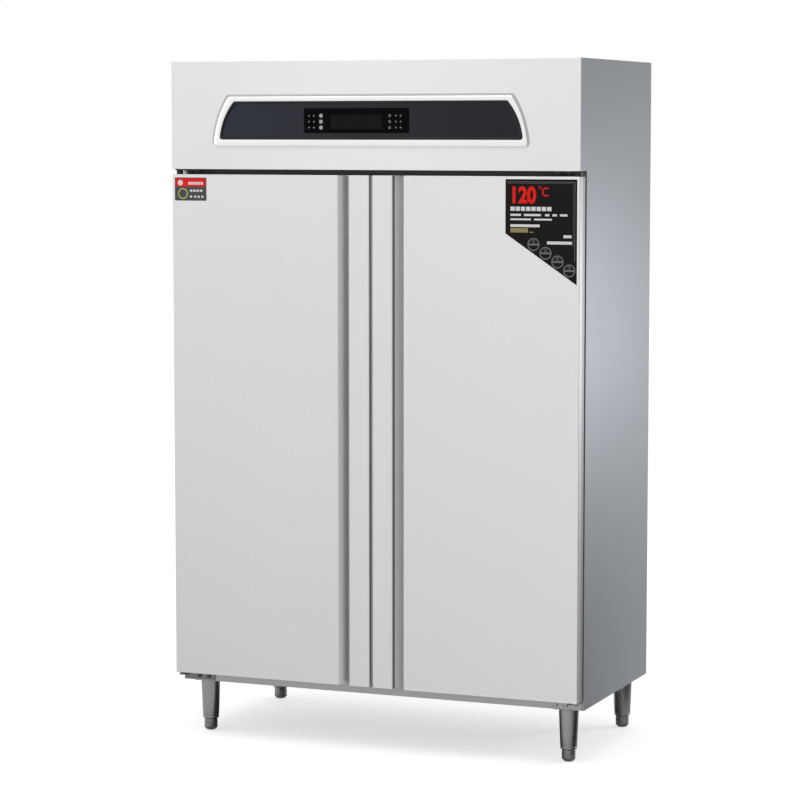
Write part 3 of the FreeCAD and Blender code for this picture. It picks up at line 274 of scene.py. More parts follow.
def new_material(name, colour, roughness, grain=0.04, stretch=30, handling=0.05,
                 edge=0.1, relief=0.2, rounding=0.0012, **sockets):
    """A material of the shared finish, with its grain the same all round or stretched by axis.

    Steady values of other sockets go straight on the shader.
    """
    if not isinstance(stretch, tuple):
        stretch = (stretch, stretch, stretch)
    material = bpy.data.materials.new(name)
    material.use_nodes = True
    tree = material.node_tree
    effect = tree.nodes.new("ShaderNodeGroup")
    effect.node_tree = surface_finish
    for socket, value in (("Colour", (*colour, 1)), ("Roughness", roughness), ("Grain", grain),
                          ("Stretch", stretch), ("Handling", handling), ("Edge", edge),
                          ("Relief", relief), ("Rounding", rounding)):
        effect.inputs[socket].default_value = value
    shader = tree.nodes["Principled BSDF"]
    for socket, value in sockets.items():
        shader.inputs[socket.replace("_", " ")].default_value = value
    wire(tree, (effect.outputs["Colour"], shader.inputs["Base Color"]),
         (effect.outputs["Roughness"], shader.inputs["Roughness"]),
         (effect.outputs["Normal"], shader.inputs["Normal"]))
    return material


def regraded(material, factor_of):
    """Multiplies a material's colour by a factor that is worked out from the place x, y, z."""
    tree = material.node_tree
    colour = tree.nodes["Principled BSDF"].inputs["Base Color"]
    before = colour.links[0].from_socket
    place = tree.nodes.new("ShaderNodeTexCoord")
    split = tree.nodes.new("ShaderNodeSeparateXYZ")
    tree.links.new(place.outputs["Object"], split.inputs[0])
    tree.links.new(tinted(tree, before, factor_of(tree, *split.outputs)), colour)


def dress(material, *names):
    """Gives the CAD nodes of these names their finished material."""
    for name in names:
        nodes[name].material_slots[0].material = material


UPRIGHT_GRAIN, LEVEL_GRAIN = (520, 520, 2.2), (2.2, 520, 520)
side_steel = new_material("side_steel", (0.46, 0.48, 0.505), 0.36, grain=0.07,
                          stretch=UPRIGHT_GRAIN, edge=0.22, relief=0.3, Metallic=0.95)
# Painted light: the side panels and roof are painted a little lighter low down, darker towards the
# top and lighter towards the back, as the reflection falls across them.
regraded(side_steel, lambda tree, x, y, z: operate(
    tree, "MULTIPLY", ranged(tree, z, 1.15, 1.75, 1.04, 0.97),
    ranged(tree, y, -0.25, 0.3, 0.97, 1.07)))
dress(side_steel, "left_side_panel", "right_side_panel", "roof_panel")
header_steel = new_material("header_steel", (0.84, 0.84, 0.835), 0.42, grain=0.03,
                            stretch=LEVEL_GRAIN, handling=0.03, edge=0.25, relief=0.15,
                            rounding=0.003, Metallic=0.85)
# Painted light: the header is painted a little darker towards the left and a little lighter across
# its middle.
regraded(header_steel, lambda tree, x, y, z: operate(
    tree, "ADD", ranged(tree, x, -0.6, 0.6, 0.93, 1.0),
    ranged(tree, operate(tree, "ABSOLUTE", x), 0.15, 0.5, 0.055, 0.0)))
dress(header_steel, "header_fascia")
galvanised = new_material("galvanised_sheet", (0.52, 0.54, 0.55), 0.58, grain=0.22,
                          stretch=60, handling=0.10, edge=0.14, relief=0.1, Metallic=0.9)


def spangle(tree, x, y, z):
    """The crystals of a zinc coat, each a little paler or duller than its neighbours."""
    place = tree.nodes.new("ShaderNodeCombineXYZ")
    crystals = tree.nodes.new("ShaderNodeTexVoronoi")
    crystals.inputs["Scale"].default_value = 75
    wire(tree, *zip((x, y, z), place.inputs), (place.outputs[0], crystals.inputs["Vector"]))
    return operate(tree, "MULTIPLY_ADD", crystals.outputs["Color"], 0.16, 0.92)


regraded(galvanised, spangle)
dress(galvanised, "rear_panel", "base_pan")


# ---------------------------------------------------------------- cavity
# The cavity is lined with thin stainless sheets that meet at the corners. A heavier frame with
# folded lips closes the gap between lining and casing, and the doors' seals rest on it.
frame_steel = new_material("frame_steel", (0.43, 0.43, 0.43), 0.36, grain=0.06,
                           stretch=UPRIGHT_GRAIN, edge=0.22, Metallic=1.0)
dress(frame_steel, "door_frame", "centre_mullion")
liner_steel = new_material("liner_steel", (0.74, 0.745, 0.75), 0.30, grain=0.05,
                           stretch=(420, 420, 3), edge=0.18, Metallic=1.0)
dress(liner_steel, "liner_left_wall", "liner_right_wall", "liner_rear_wall", "liner_floor",
      "liner_ceiling", "rear_air_panel", "duct_plate", "fan_guard")
wool = new_material("mineral_wool", (0.72, 0.62, 0.36), 0.95, grain=0.5, stretch=(140, 140, 900),
                    handling=0.2, edge=0.0, relief=1.0)
dress(wool, "body_insulation", "left_door_insulation", "right_door_insulation")


# ---------------------------------------------------------------- hot air
# A motor on the ceiling turns a bladed wheel inside a ring-shaped heating tube. A slotted
# guard covers the inlet, and a probe in a thin sheath reads the air beside it.
motor_paint = new_material("motor_paint", (0.035, 0.037, 0.04), 0.45, grain=0.1,
                           stretch=300, edge=0.5, relief=0.4)
dress(motor_paint, "fan_motor")
impeller_metal = new_material("impeller_metal", (0.74, 0.75, 0.76), 0.33, grain=0.06,
                              stretch=90, Metallic=1.0)
dress(impeller_metal, "fan_impeller")
ground_steel = new_material("ground_steel", (0.66, 0.66, 0.67), 0.18, grain=0.05,
                            stretch=(40, 40, 900), Metallic=1.0)
dress(ground_steel, "motor_shaft")
heater_tube = new_material("heater_tube", (0.20, 0.17, 0.15), 0.5, grain=0.3,
                           stretch=120, handling=0.3, Metallic=0.8)
dress(heater_tube, "heating_element")
probe_steel = new_material("probe_steel", (0.75, 0.75, 0.76), 0.16, Metallic=1.0)
dress(probe_steel, "temperature_probe")


# ---------------------------------------------------------------- racks
# Slotted uprights stand at the side walls and on the middle line. Folded runners hang in
# their slots, and chromed wire racks rest on the runners.
runner_steel = new_material("runner_steel", (0.64, 0.65, 0.66), 0.30, grain=0.05,
                            stretch=(300, 300, 4), edge=0.2, Metallic=1.0)
dress(runner_steel, "rack_standards", "rack_runners")
# The wires and bars of a rack are drawn round, fused at every crossing and chromed, so each
# rack is rounded here over its solid. One rack is made and the other five are its copies.

def select_only(*pieces):
    bpy.ops.object.select_all(action="DESELECT")
    for piece in pieces:
        piece.select_set(True)
    bpy.context.view_layer.objects.active = pieces[0]


def use_modifier(piece, kind, **settings):
    """Adds a modifier to a piece and applies it."""
    select_only(piece)
    modifier = piece.modifiers.new(kind.lower(), kind)
    for name, value in settings.items():
        setattr(modifier, name, value)
    bpy.ops.object.modifier_apply(modifier=modifier.name)


def joined(name, *pieces):
    """Makes one piece of several and puts its origin at the cabinet's."""
    select_only(*pieces)
    if len(pieces) > 1:
        bpy.ops.object.join()
    piece = bpy.context.object
    bpy.ops.object.transform_apply(location=True, rotation=True, scale=True)
    piece.name = piece.data.name = name
    return piece


def box_piece(low, high, rounding, segments=2):
    """A block between two corners, with its edges rounded."""
    centre = [(a + b) / 2 for a, b in zip(low, high)]
    bpy.ops.object.select_all(action="DESELECT")
    bpy.ops.mesh.primitive_cube_add(size=1, location=centre)
    piece = bpy.context.object
    piece.scale = [b - a for a, b in zip(low, high)]
    bpy.ops.object.transform_apply(location=True, rotation=True, scale=True)
    use_modifier(piece, "BEVEL", width=rounding, segments=segments, limit_method="ANGLE")
    bpy.ops.object.shade_smooth_by_angle(angle=math.radians(40))
    return piece


def wire_piece(across, front, back, level, radius):
    """A round wire that runs from front to back."""
    bpy.ops.object.select_all(action="DESELECT")
    bpy.ops.mesh.primitive_cylinder_add(vertices=12, radius=radius, depth=back - front,
                                        location=(across, (front + back) / 2, level),
                                        rotation=(math.pi / 2, 0, 0))
    bpy.ops.object.transform_apply(location=True, rotation=True, scale=True)
    bpy.ops.object.shade_smooth_by_angle(angle=math.radians(50))
    return bpy.context.object


def attach(piece, material, body):
    """Finishes a new piece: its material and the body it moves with."""
    piece.data.materials.clear()
    piece.data.materials.append(material)
    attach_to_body(piece, body)
    return piece


def copy_of(piece, name, shift):
    """A copy with its own mesh, moved by a shift that goes into the mesh."""
    twin = piece.copy()
    twin.data = piece.data.copy()
    twin.parent = None
    bpy.context.scene.collection.objects.link(twin)
    twin.location = shift
    return joined(name, twin)


rack_chrome = new_material("rack_chrome", (0.74, 0.75, 0.76), 0.12, grain=0.02, edge=0.0,
                           relief=0.05, Metallic=1.0)
dress(rack_chrome, *[f"{side}_rack_{shelf}" for side in ("left", "right") for shelf in (1, 2, 3)])
RACK_BAR, BAR_EDGE = 0.005, 0.0018
WIRE_COUNT, WIRE_RADIUS, WIRE_LEVEL = 14, 0.0025, 0.009
CROSS_BAR_HALF, CROSS_BAR_HEIGHT, CROSS_BAR_INSET = 0.005, 0.0072, 0.003
RACK_SPACING = 0.36
low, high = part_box("left_rack_1")
bars = []
for first, last in (((low.x, low.y, low.z), (high.x, low.y + RACK_BAR, high.z)),
                    ((low.x, high.y - RACK_BAR, low.z), (high.x, high.y, high.z)),
                    ((low.x, low.y, low.z), (low.x + RACK_BAR, high.y, high.z)),
                    ((high.x - RACK_BAR, low.y, low.z), (high.x, high.y, high.z))):
    bars.append(box_piece(first, last, BAR_EDGE, 3))
middle, pitch = (low.y + high.y) / 2, (high.x - low.x) / (WIRE_COUNT + 1)
bars.append(box_piece((low.x + CROSS_BAR_INSET, middle - CROSS_BAR_HALF, low.z),
                      (high.x - CROSS_BAR_INSET, middle + CROSS_BAR_HALF,
                       low.z + CROSS_BAR_HEIGHT), BAR_EDGE, 3))
for number in range(1, WIRE_COUNT + 1):
    bars.append(wire_piece(low.x + number * pitch, low.y + RACK_BAR / 2, high.y - RACK_BAR / 2,
                           low.z + WIRE_LEVEL, WIRE_RADIUS))
first_rack = joined("left_rack_1_wires", *bars)
for side in ("left", "right"):
    for shelf in (1, 2, 3):
        shift = (0 if side == "left" else -low.x - high.x, 0, (shelf - 1) * RACK_SPACING)
        rack = first_rack if (side, shelf) == ("left", 1) else copy_of(
            first_rack, f"{side}_rack_{shelf}_wires", shift)
        attach(rack, rack_chrome, "cabinet")
        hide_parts(f"{side}_rack_{shelf}")


# ---------------------------------------------------------------- header panel
# A pale satin bezel is clipped to the header, and a grey ring behind it shows past its edge as
# painted shade, the shaded outer wall of the bezel. A black rubber bead holds a curved-ended pane
# of smoked acrylic in it, and a display module with round keys stands in it.
bezel_satin = new_material("bezel_satin", (0.94, 0.94, 0.935), 0.24, grain=0.01,
                           stretch=180, handling=0.02, edge=0.05, relief=0.05,
                           Metallic=0.85)
dress(bezel_satin, "panel_bezel")
bezel_shade_grey = new_material("bezel_shade_grey", (0.60, 0.60, 0.61), 0.9, grain=0.2, stretch=700,
                         edge=0.0, relief=0.6, Specular_IOR_Level=0.1)
bead_rubber = new_material("bead_rubber", (0.010, 0.010, 0.012), 0.32, grain=0.1,
                           stretch=300, edge=0.3, relief=0.1, Specular_IOR_Level=0.3)
smoked_pane = new_material("smoked_pane", (0.013, 0.015, 0.024), 0.14, grain=0.02,
                           stretch=50, handling=0.05, edge=0.5, relief=0.02,
                           Specular_IOR_Level=0.36, Specular_Tint=(0.86, 0.91, 1, 1))
# Painted reflection: the pane's colour is painted from its full tone at the left down to near black
# at the right.
regraded(smoked_pane, lambda tree, x, y, z: ranged(tree, x, -0.42, 0.38, 1.0, 0.08))
dress(smoked_pane, "control_glass")


def edit_faces(piece, test):
    """Goes into edit mode with those faces of a piece selected for which a test holds."""
    bpy.ops.object.mode_set(mode="EDIT")
    bpy.ops.mesh.select_mode(type="FACE")
    bpy.ops.mesh.select_all(action="DESELECT")
    bpy.ops.object.mode_set(mode="OBJECT")
    for face in piece.data.polygons:
        face.select = test(face)
    bpy.ops.object.mode_set(mode="EDIT")


def leave_edit():
    bpy.ops.mesh.select_mode(type="VERT")
    bpy.ops.object.mode_set(mode="OBJECT")


def close_shape():
    """Turns every face of the shape in hand outwards and goes back to the whole piece."""
    bpy.ops.mesh.select_all(action="SELECT")
    bpy.ops.mesh.normals_make_consistent(inside=False)
    leave_edit()


def pane_outline(sides):
    """The pane's curved-ended outline as a flat loop, fitted between left, right, low and high."""
    pane = nodes["control_glass"]
    low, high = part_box("control_glass")
    shut_low, shut_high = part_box("display_housing")
    loop = pane.copy()
    loop.data = pane.data.copy()
    loop.parent = None
    bpy.context.scene.collection.objects.link(loop)
    select_only(loop)
    bpy.ops.object.mode_set(mode="EDIT")
    bpy.ops.mesh.select_all(action="SELECT")
    bpy.ops.mesh.remove_doubles(threshold=0.00001)
    leave_edit()
    around = 0.002
    edit_faces(loop, lambda face: abs(face.normal.y) > 0.3 or (
        shut_low.x - around < face.center.x < shut_high.x + around
        and shut_low.z - around < face.center.z < shut_high.z + around))
    bpy.ops.mesh.delete(type="FACE")
    leave_edit()
    for vertex in loop.data.vertices:
        vertex.select = vertex.co.y > low.y + 0.0001
    bpy.ops.object.mode_set(mode="EDIT")
    bpy.ops.mesh.delete(type="VERT")
    bpy.ops.mesh.select_all(action="SELECT")
    left, right, bottom, top = sides
    bpy.ops.transform.resize(value=((right - left) / (high.x - low.x), 1,
                                    (top - bottom) / (high.z - low.z)), center_override=low)
    bpy.ops.transform.translate(value=(left - low.x, 0, bottom - low.z))
    bpy.ops.object.mode_set(mode="OBJECT")
    return loop


def outline_ring(outer, inner, back, front, rounding):
    """A ring between two of the pane's outlines, from back to front with rounded edges."""
    select_only(pane_outline(outer), pane_outline(inner))
    bpy.ops.object.join()
    piece = bpy.context.object
    bpy.ops.object.mode_set(mode="EDIT")
    bpy.ops.mesh.select_mode(type="EDGE")
    bpy.ops.mesh.select_all(action="SELECT")
    bpy.ops.mesh.bridge_edge_loops()
    bpy.ops.mesh.select_all(action="SELECT")
    bpy.ops.transform.translate(value=(0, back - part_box("control_glass")[0].y, 0))
    bpy.ops.mesh.extrude_region_move(TRANSFORM_OT_translate={"value": (0, front - back, 0)})
    close_shape()
    use_modifier(piece, "BEVEL", width=rounding, segments=3, limit_method="ANGLE",
                 angle_limit=math.radians(50))
    bpy.ops.object.shade_smooth_by_angle(angle=math.radians(35))
    return piece


def grown(sides, left, right, bottom, top):
    """A fitting rectangle moved outwards by so much at each of its sides."""
    return (sides[0] - left, sides[1] + right, sides[2] - bottom, sides[3] + top)


low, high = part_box("panel_bezel")
sheet = high.y
around = (low.x, high.x, low.z, high.z)
# Painted shade: the grey ring stands out past the bezel's top and sides and shows as its shaded
# outer wall.
shade_ring = outline_ring(grown(around, 0.001, 0.003, -0.001, 0.0045),
                    grown(around, -0.015, -0.015, -0.015, -0.015), sheet, sheet - 0.0012, 0.0003)
attach(joined("bezel_shade_ring", shade_ring), bezel_shade_grey, "cabinet")
low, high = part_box("control_glass")
within = (low.x, high.x, low.z, high.z)
rim = outline_ring(grown(around, -0.005, -0.001, 0.0025, -0.0015),
                   grown(within, -0.0035, 0.0070, 0.0035, 0.0010), sheet, sheet - 0.0066, 0.0022)
attach(joined("bezel_rim", rim), bezel_satin, "cabinet")
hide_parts("panel_bezel")
bead = outline_ring(grown(within, -0.0015, 0.0090, 0.0050, 0.0025),
                    grown(within, -0.0080, -0.0010, -0.0015, -0.0040),
                    sheet - 0.0042, sheet - 0.0076, 0.0011)
attach(joined("pane_bead", bead), bead_rubber, "cabinet")
module_black = new_material("module_black", (0.0015, 0.0015, 0.002), 0.45, grain=0.03,
                            stretch=300, handling=0.04, edge=0.8, relief=0.2,
                            Specular_IOR_Level=0.04)
dress(module_black, "display_housing")
window_smoke = new_material("window_smoke", (0.009, 0.009, 0.009), 0.2, grain=0.02, handling=0.04,
                            edge=0.5, relief=0.02, Specular_IOR_Level=0.05)
dress(window_smoke, "display_window")
key_plastic = new_material("key_plastic", (0.42, 0.425, 0.43), 0.22, grain=0.02, edge=0.2,
                           relief=0.05)
key_dark = new_material("key_dark", (0.012, 0.012, 0.013), 0.25, grain=0.02, edge=0.4, relief=0.05,
                        Specular_IOR_Level=0.2)
mark_grey = new_material("mark_grey", (0.21, 0.215, 0.22), 0.5, grain=0.1, edge=0.0)
print_and_highlight_grey = new_material("print_and_highlight_grey", (0.34, 0.34, 0.35), 0.5, grain=0.1, edge=0.0)


def shape_piece(corners, sides=4, radius=0.0, depth=0.0001, rounding=0.0, hole=0.0):
    """A thin flat shape that faces the front: an outline, or a disc or ring round one point."""
    bpy.ops.object.select_all(action="DESELECT")
    if radius:
        across, along, up = corners
        bpy.ops.mesh.primitive_circle_add(vertices=sides, radius=radius, fill_type="NGON",
                                          location=(across, along, up),
                                          rotation=(math.pi / 2, 0, 0))
        bpy.ops.object.transform_apply(location=True, rotation=True, scale=True)
    else:
        (left, along, low), (right, _, high) = corners
        bpy.ops.mesh.primitive_plane_add(size=1, rotation=(math.pi / 2, 0, 0),
                                         location=((left + right) / 2, along, (low + high) / 2))
        bpy.context.object.scale = (right - left, high - low, 1)
        bpy.ops.object.transform_apply(location=True, rotation=True, scale=True)
    piece = bpy.context.object
    bpy.ops.object.mode_set(mode="EDIT")
    bpy.ops.mesh.select_all(action="SELECT")
    if rounding:
        bpy.ops.mesh.bevel(offset=rounding, segments=4, affect="VERTICES")
        bpy.ops.mesh.select_all(action="SELECT")
    if hole:
        bpy.ops.mesh.inset(thickness=hole)
        bpy.ops.mesh.delete(type="FACE")
        bpy.ops.mesh.select_all(action="SELECT")
    bpy.ops.mesh.extrude_region_move(TRANSFORM_OT_translate={"value": (0, -depth, 0)})
    close_shape()
    return piece


# The caps are moulded with soft edges and a dished top; the left ones are clear and bright, the
# right ones are black with a pale printed ring, which also stands in for the glint round the rim as
# a painted highlight. Two columns of small marks stand beside each.
KEY_RADIUS, KEY_BASE = 0.0054, 0.0015
KEY_DISH = ((0.0014, 0.0002), (0.0018, 0.0005))
INK = 0.00005
for number in range(1, 7):
    low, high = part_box(f"key_{number}")
    middle = (low + high) / 2
    cap = shape_piece((middle.x, high.y, middle.z), 32, KEY_RADIUS, high.y - low.y)
    front = min(face.center.y for face in cap.data.polygons)
    edit_faces(cap, lambda face: face.center.y < front + 0.0001)
    for inwards, deeper in KEY_DISH:
        bpy.ops.mesh.inset(thickness=inwards)
        bpy.ops.transform.translate(value=(0, deeper, 0))
    leave_edit()
    use_modifier(cap, "BEVEL", width=0.0006, segments=2, limit_method="ANGLE")
    bpy.ops.object.shade_smooth_by_angle(angle=math.radians(50))
    base = box_piece((low.x, high.y - KEY_BASE, low.z), (high.x, high.y, high.z), 0.0003)
    cap = joined(f"key_{number}_cap", cap, base)
    attach(cap, key_plastic if number < 4 else key_dark, f"panel_key_{number}")
    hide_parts(f"key_{number}")
    if number > 3:
        # Painted highlight: the pale ring on each black key is print that also stands in for the
        # glint round its rim.
        ring = joined(f"key_{number}_ring_print_and_highlight", shape_piece(
            (middle.x, low.y + 0.0004, middle.z), 24, 0.0042, INK, hole=0.0018))
        attach(ring, print_and_highlight_grey, f"panel_key_{number}")
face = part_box("display_housing")[0].y
marks = [shape_piece((across, face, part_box(f"key_{row}")[0].z + 0.0068), 4, 0.0030, INK)
         for across in (-0.184, -0.169, 0.079, 0.093) for row in (1, 2, 3)]
attach(joined("display_marks", *marks), mark_grey, "cabinet")

# Behind the smoked window the digits' unlit segments only just show.
segment_grey = new_material("segment_grey", (0.0125, 0.0125, 0.0125), 0.35, grain=0.05, edge=0.0,
                            Specular_IOR_Level=0.05)
DIGIT_LEVEL, STROKE, STROKE_DEPTH = 1.7785, 0.0012, 0.00004
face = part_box("display_window")[0].y
segments = []
for place in (-0.103, -0.079, -0.051, -0.027, 0.005, 0.0225):
    small = 0.7 if place > 0 else 1.0
    wide, tall = 0.0075 * small, 0.0135 * small
    strokes = [(0, level, wide * 0.8, STROKE) for level in (-1, 0, 1)]
    strokes += [(side, level, STROKE, tall * 0.38) for side in (-1, 1) for level in (-0.5, 0.5)]
    for side, level, reach, rise in strokes:
        across, up = place + side * wide, DIGIT_LEVEL + level * tall
        segments.append(shape_piece(((across - reach, face, up - rise),
                                     (across + reach, face, up + rise)), depth=STROKE_DEPTH))
attach(joined("display_segments", *segments), segment_grey, "cabinet")
board_green = new_material("board_green", (0.02, 0.12, 0.05), 0.4, grain=0.2,
                           stretch=(400, 90, 400))
dress(board_green, "control_board")
module_casing = new_material("module_casing", (0.22, 0.225, 0.24), 0.5, grain=0.06,
                             stretch=150, edge=0.3, Metallic=0.9)
dress(module_casing, "power_module")
gland_nylon = new_material("gland_nylon", (0.02, 0.02, 0.022), 0.48, grain=0.05,
                           stretch=600, edge=0.6)
dress(gland_nylon, "cable_gland")


# ---------------------------------------------------------------- doors
# Each door is a tray of brushed stainless sheet with a full-height finger channel pressed
# beside its closing edge, filled with wool, closed by an embossed liner, and edged by a seal.
door_steel = new_material("door_steel", (0.80, 0.80, 0.795), 0.40, grain=0.05,
                          stretch=UPRIGHT_GRAIN, handling=0.035, edge=0.16, relief=0.3,
                          rounding=0.005, Metallic=0.9)


def door_painted_shade(tree, x, y, z):
    """Painted shade on the outer walls, deeper towards the back where they run into the gap, and a
    front painted lighter from left to right.
    """
    wall = ranged(tree, operate(tree, "ABSOLUTE", x), 0.6135, 0.6145, 0.0, 1.0)
    rear = ranged(tree, y, -0.308, -0.298, 0.15, 0.50)
    return operate(tree, "SUBTRACT", ranged(tree, x, -0.6, 0.6, 0.95, 1.045),
                   operate(tree, "MULTIPLY", wall, rear))


regraded(door_steel, door_painted_shade)
dress(door_steel, "left_door_skin", "right_door_skin")
dress(liner_steel, "left_door_liner", "right_door_liner")
seal_rubber = new_material("seal_rubber", (0.035, 0.035, 0.038), 0.62, grain=0.15,
                           stretch=260, handling=0.1, edge=0.3, relief=0.5,
                           Specular_IOR_Level=0.35)
# The seal is one extrusion mitred at the corners: a foot, two folds of bellows and a flat lip.
SEAL_PROFILE = [(0, 0.0025), (0.0015, 0.0035), (0.0015, 0.0045), (0.0003, 0.0058),
                (0.0003, 0.0076), (0.0018, 0.0088), (0.0018, 0.0096), (0.0008, 0.0108),
                (0.0010, 0.0120), (0.0018, 0.0126)]


def seal_piece(low, high):
    """A ring of the seal's profile inside a rectangle, from the door at low.y to the lip."""
    width, height, ring = high.x - low.x, high.z - low.z, 0.012
    centre = ((low.x + high.x) / 2, low.y, (low.z + high.z) / 2)
    over = [(ring - inset, level) for inset, level in reversed(SEAL_PROFILE)]
    bpy.ops.object.select_all(action="DESELECT")
    bpy.ops.mesh.primitive_plane_add(size=1, location=centre, rotation=(math.pi / 2, 0, 0))
    bpy.context.object.scale = (width, height, 1)
    bpy.ops.object.transform_apply(location=True, rotation=True, scale=True)
    bpy.ops.object.mode_set(mode="EDIT")
    bpy.ops.mesh.select_all(action="SELECT")
    inset, level = 0, 0
    for deeper, higher in (*SEAL_PROFILE, *over, (ring, 0)):
        bpy.ops.mesh.extrude_region_move(TRANSFORM_OT_translate={"value": (0, higher - level, 0)})
        bpy.ops.transform.resize(value=((width - 2 * deeper) / (width - 2 * inset), 1,
                                        (height - 2 * deeper) / (height - 2 * inset)),
                                 center_override=(centre[0], low.y + higher, centre[2]))
        inset, level = deeper, higher
    leave_edit()
    piece = bpy.context.object
    edit_faces(piece, lambda face: face.area > 0.1 and abs(face.normal.y) > 0.9)
    bpy.ops.mesh.delete(type="ONLY_FACE")
    bpy.ops.mesh.select_mode(type="EDGE")
    bpy.ops.mesh.select_all(action="DESELECT")
    bpy.ops.mesh.select_non_manifold()
    bpy.ops.mesh.bridge_edge_loops()
    close_shape()
    bpy.ops.object.shade_smooth_by_angle(angle=math.radians(50))
    return piece


for side in ("left", "right"):
    seal = joined(f"{side}_door_seal", seal_piece(*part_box(f"{side}_door_gasket")))
    attach(seal, seal_rubber, f"{side}_door")
    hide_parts(f"{side}_door_gasket")
bush_nylon = new_material("bush_nylon", (0.80, 0.80, 0.76), 0.4, grain=0.04, edge=0.1,
                          Subsurface_Weight=0.1)
dress(bush_nylon, "left_door_bushes", "right_door_bushes")
hinge_steel = new_material("hinge_steel", (0.22, 0.22, 0.225), 0.38, grain=0.16,
                           stretch=200, edge=0.5, relief=0.3, Metallic=0.9)
# Painted light: the right hinge is painted twice as light as the left one, a lit and a shaded copy
# of the same bracket.
regraded(hinge_steel, lambda tree, x, y, z: ranged(tree, x, -0.1, 0.1, 1.0, 2.0))
dress(hinge_steel, "lower_hinges")
hinge_black = new_material("hinge_black", (0.030, 0.030, 0.031), 0.5, grain=0.16,
                           stretch=200, edge=0.4, relief=0.3,
                           Specular_IOR_Level=0.3)
dress(hinge_black, "upper_hinges")

# A thin dark grey strip lines the square wall of each finger channel, where it darkens the
# channel's deep corner as painted shade, and a soft lip on the right door's closing edge covers the
# gap between the doors.
channel_shade_grey = new_material("channel_shade_grey", (0.155, 0.155, 0.158), 0.5, grain=0.05,
                         stretch=UPRIGHT_GRAIN, edge=0.2, Specular_IOR_Level=0.25)
lip_grey = new_material("lip_grey", (0.32, 0.32, 0.32), 0.6, grain=0.08, stretch=UPRIGHT_GRAIN,
                        edge=0.1, Specular_IOR_Level=0.2)
CHANNEL_WALL, SHADE_STRIP_THICKNESS, SHADE_STRIP_DEPTH = 0.0660, 0.0008, 0.0165
low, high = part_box("right_door_skin")
for side, name in ((-1, "left"), (1, "right")):
    edges = sorted((side * CHANNEL_WALL, side * (CHANNEL_WALL + SHADE_STRIP_THICKNESS)))
    channel_shade_strip = box_piece((edges[0], low.y + 0.0006, low.z + 0.0015),
                     (edges[1], low.y + SHADE_STRIP_DEPTH, high.z - 0.0015), 0.0003)
    attach(joined(f"{name}_grip_shade_strip", channel_shade_strip), channel_shade_grey, f"{name}_door")
lip = box_piece((-0.0030, low.y + 0.0065, low.z + 0.001), (0.0045, low.y + 0.0080, high.z - 0.001),
                0.0005)
attach(joined("closing_lip", lip), lip_grey, "right_door")


# ---------------------------------------------------------------- gap strip
# A dark grey strip is set on the frame behind the gap over the doors, where it darkens the gap as
# painted shade and hides the frame's upper edge.
gap_shade_grey = new_material("gap_shade_grey", (0.125, 0.125, 0.126), 0.7, grain=0.2,
                            stretch=(40, 300, 300), edge=0.2, Specular_IOR_Level=0.15)
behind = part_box("door_frame")[0].y
strip = box_piece((-0.594, behind - 0.0035, 1.6225), (0.594, behind, 1.6445), 0.0012)
attach(joined("gap_strip", strip), gap_shade_grey, "cabinet")


# ---------------------------------------------------------------- labels
# Two printed films are stuck to the doors' upper outer corners. They carry plain shapes, bars
# and a round number, and no words.

def film(name, colour, roughness=0.35):
    return new_material(name, colour, roughness, grain=0.05, stretch=200,
                        handling=0.05, edge=0.2, relief=0.1, Specular_IOR_Level=0.08)


def printed(name, material, body, *shapes):
    """Ink of one colour on a label."""
    return attach(joined(name, *shapes), material, body)


def bar(left, right, low, high, along=None):
    """A printed bar in millimetres on the front of a label."""
    along = LABEL_FACE if along is None else along
    return shape_piece(((left / 1000, along, low / 1000), (right / 1000, along, high / 1000)),
                       depth=INK)


FILM = 0.0003
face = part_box("right_door_skin")[0].y
LABEL_FACE = face - FILM
film_black = film("film_black", (0.012, 0.010, 0.010))
ink_red = film("ink_red", (0.92, 0.020, 0.016), 0.4)
ink_white = film("ink_white", (0.82, 0.82, 0.82), 0.45)
ink_grey = film("ink_grey", (0.20, 0.195, 0.20), 0.45)
ink_gold = film("ink_gold", (0.36, 0.28, 0.13), 0.45)
ink_yellow = film("ink_yellow", (0.60, 0.56, 0.16), 0.45)
film_grey = film("film_grey", (0.095, 0.095, 0.105))

plate = shape_piece(((0.400, face, 1.3365), (0.606, face, 1.6225)), depth=FILM)
bpy.ops.object.mode_set(mode="EDIT")
bpy.ops.mesh.select_all(action="SELECT")
bpy.ops.mesh.bisect(plane_co=(0.400, face, 1.4745), plane_no=(-0.1380, 0, -0.206),
                    clear_outer=True, use_fill=True)
bpy.ops.object.mode_set(mode="OBJECT")
attach(joined("right_label", plate), film_black, "right_door")
printed("right_label_border", ink_grey, "right_door", bar(406, 600, 1614.5, 1616),
        bar(599, 600.5, 1400, 1614.5), bar(594.5, 595.2, 1440, 1611), bar(406, 594, 1611, 1611.7))
printed("right_label_white", ink_white, "right_door",
        *[bar(414.5 + 15.1 * place, 427 + 15.1 * place, 1536.5, 1548) for place in range(8)],
        *[bar(left, right, 1522.5, 1528.5) for left, right in (
            (414.5, 445), (453.7, 502.7), (514.2, 527), (535.7, 548.6), (557, 578.6))],
        bar(414.5, 474, 1511, 1516), bar(482.6, 534, 1511, 1516), bar(414.5, 499, 1492.5, 1500),
        bar(567.5, 590.5, 1464, 1472), bar(520.3, 592, 1446.5, 1454.5))
printed("right_label_gold", ink_gold, "right_door", bar(414.5, 465.5, 1477.5, 1489.5),
        bar(470, 482, 1477.5, 1480))
rings = []
for across, up in ((481.5, 1445.5), (516.2, 1422.1), (550.7, 1399.1), (584.4, 1375.3)):
    rings.append(shape_piece((across / 1000, LABEL_FACE, up / 1000), 40, 0.0175, INK, hole=0.0032))
    rings.append(bar(across - 14, across + 14, up - 2.6, up + 2.6))
    rings.append(shape_piece((across / 1000, LABEL_FACE, (up + 8.5) / 1000), 24, 0.0042, INK,
                             hole=0.0016))
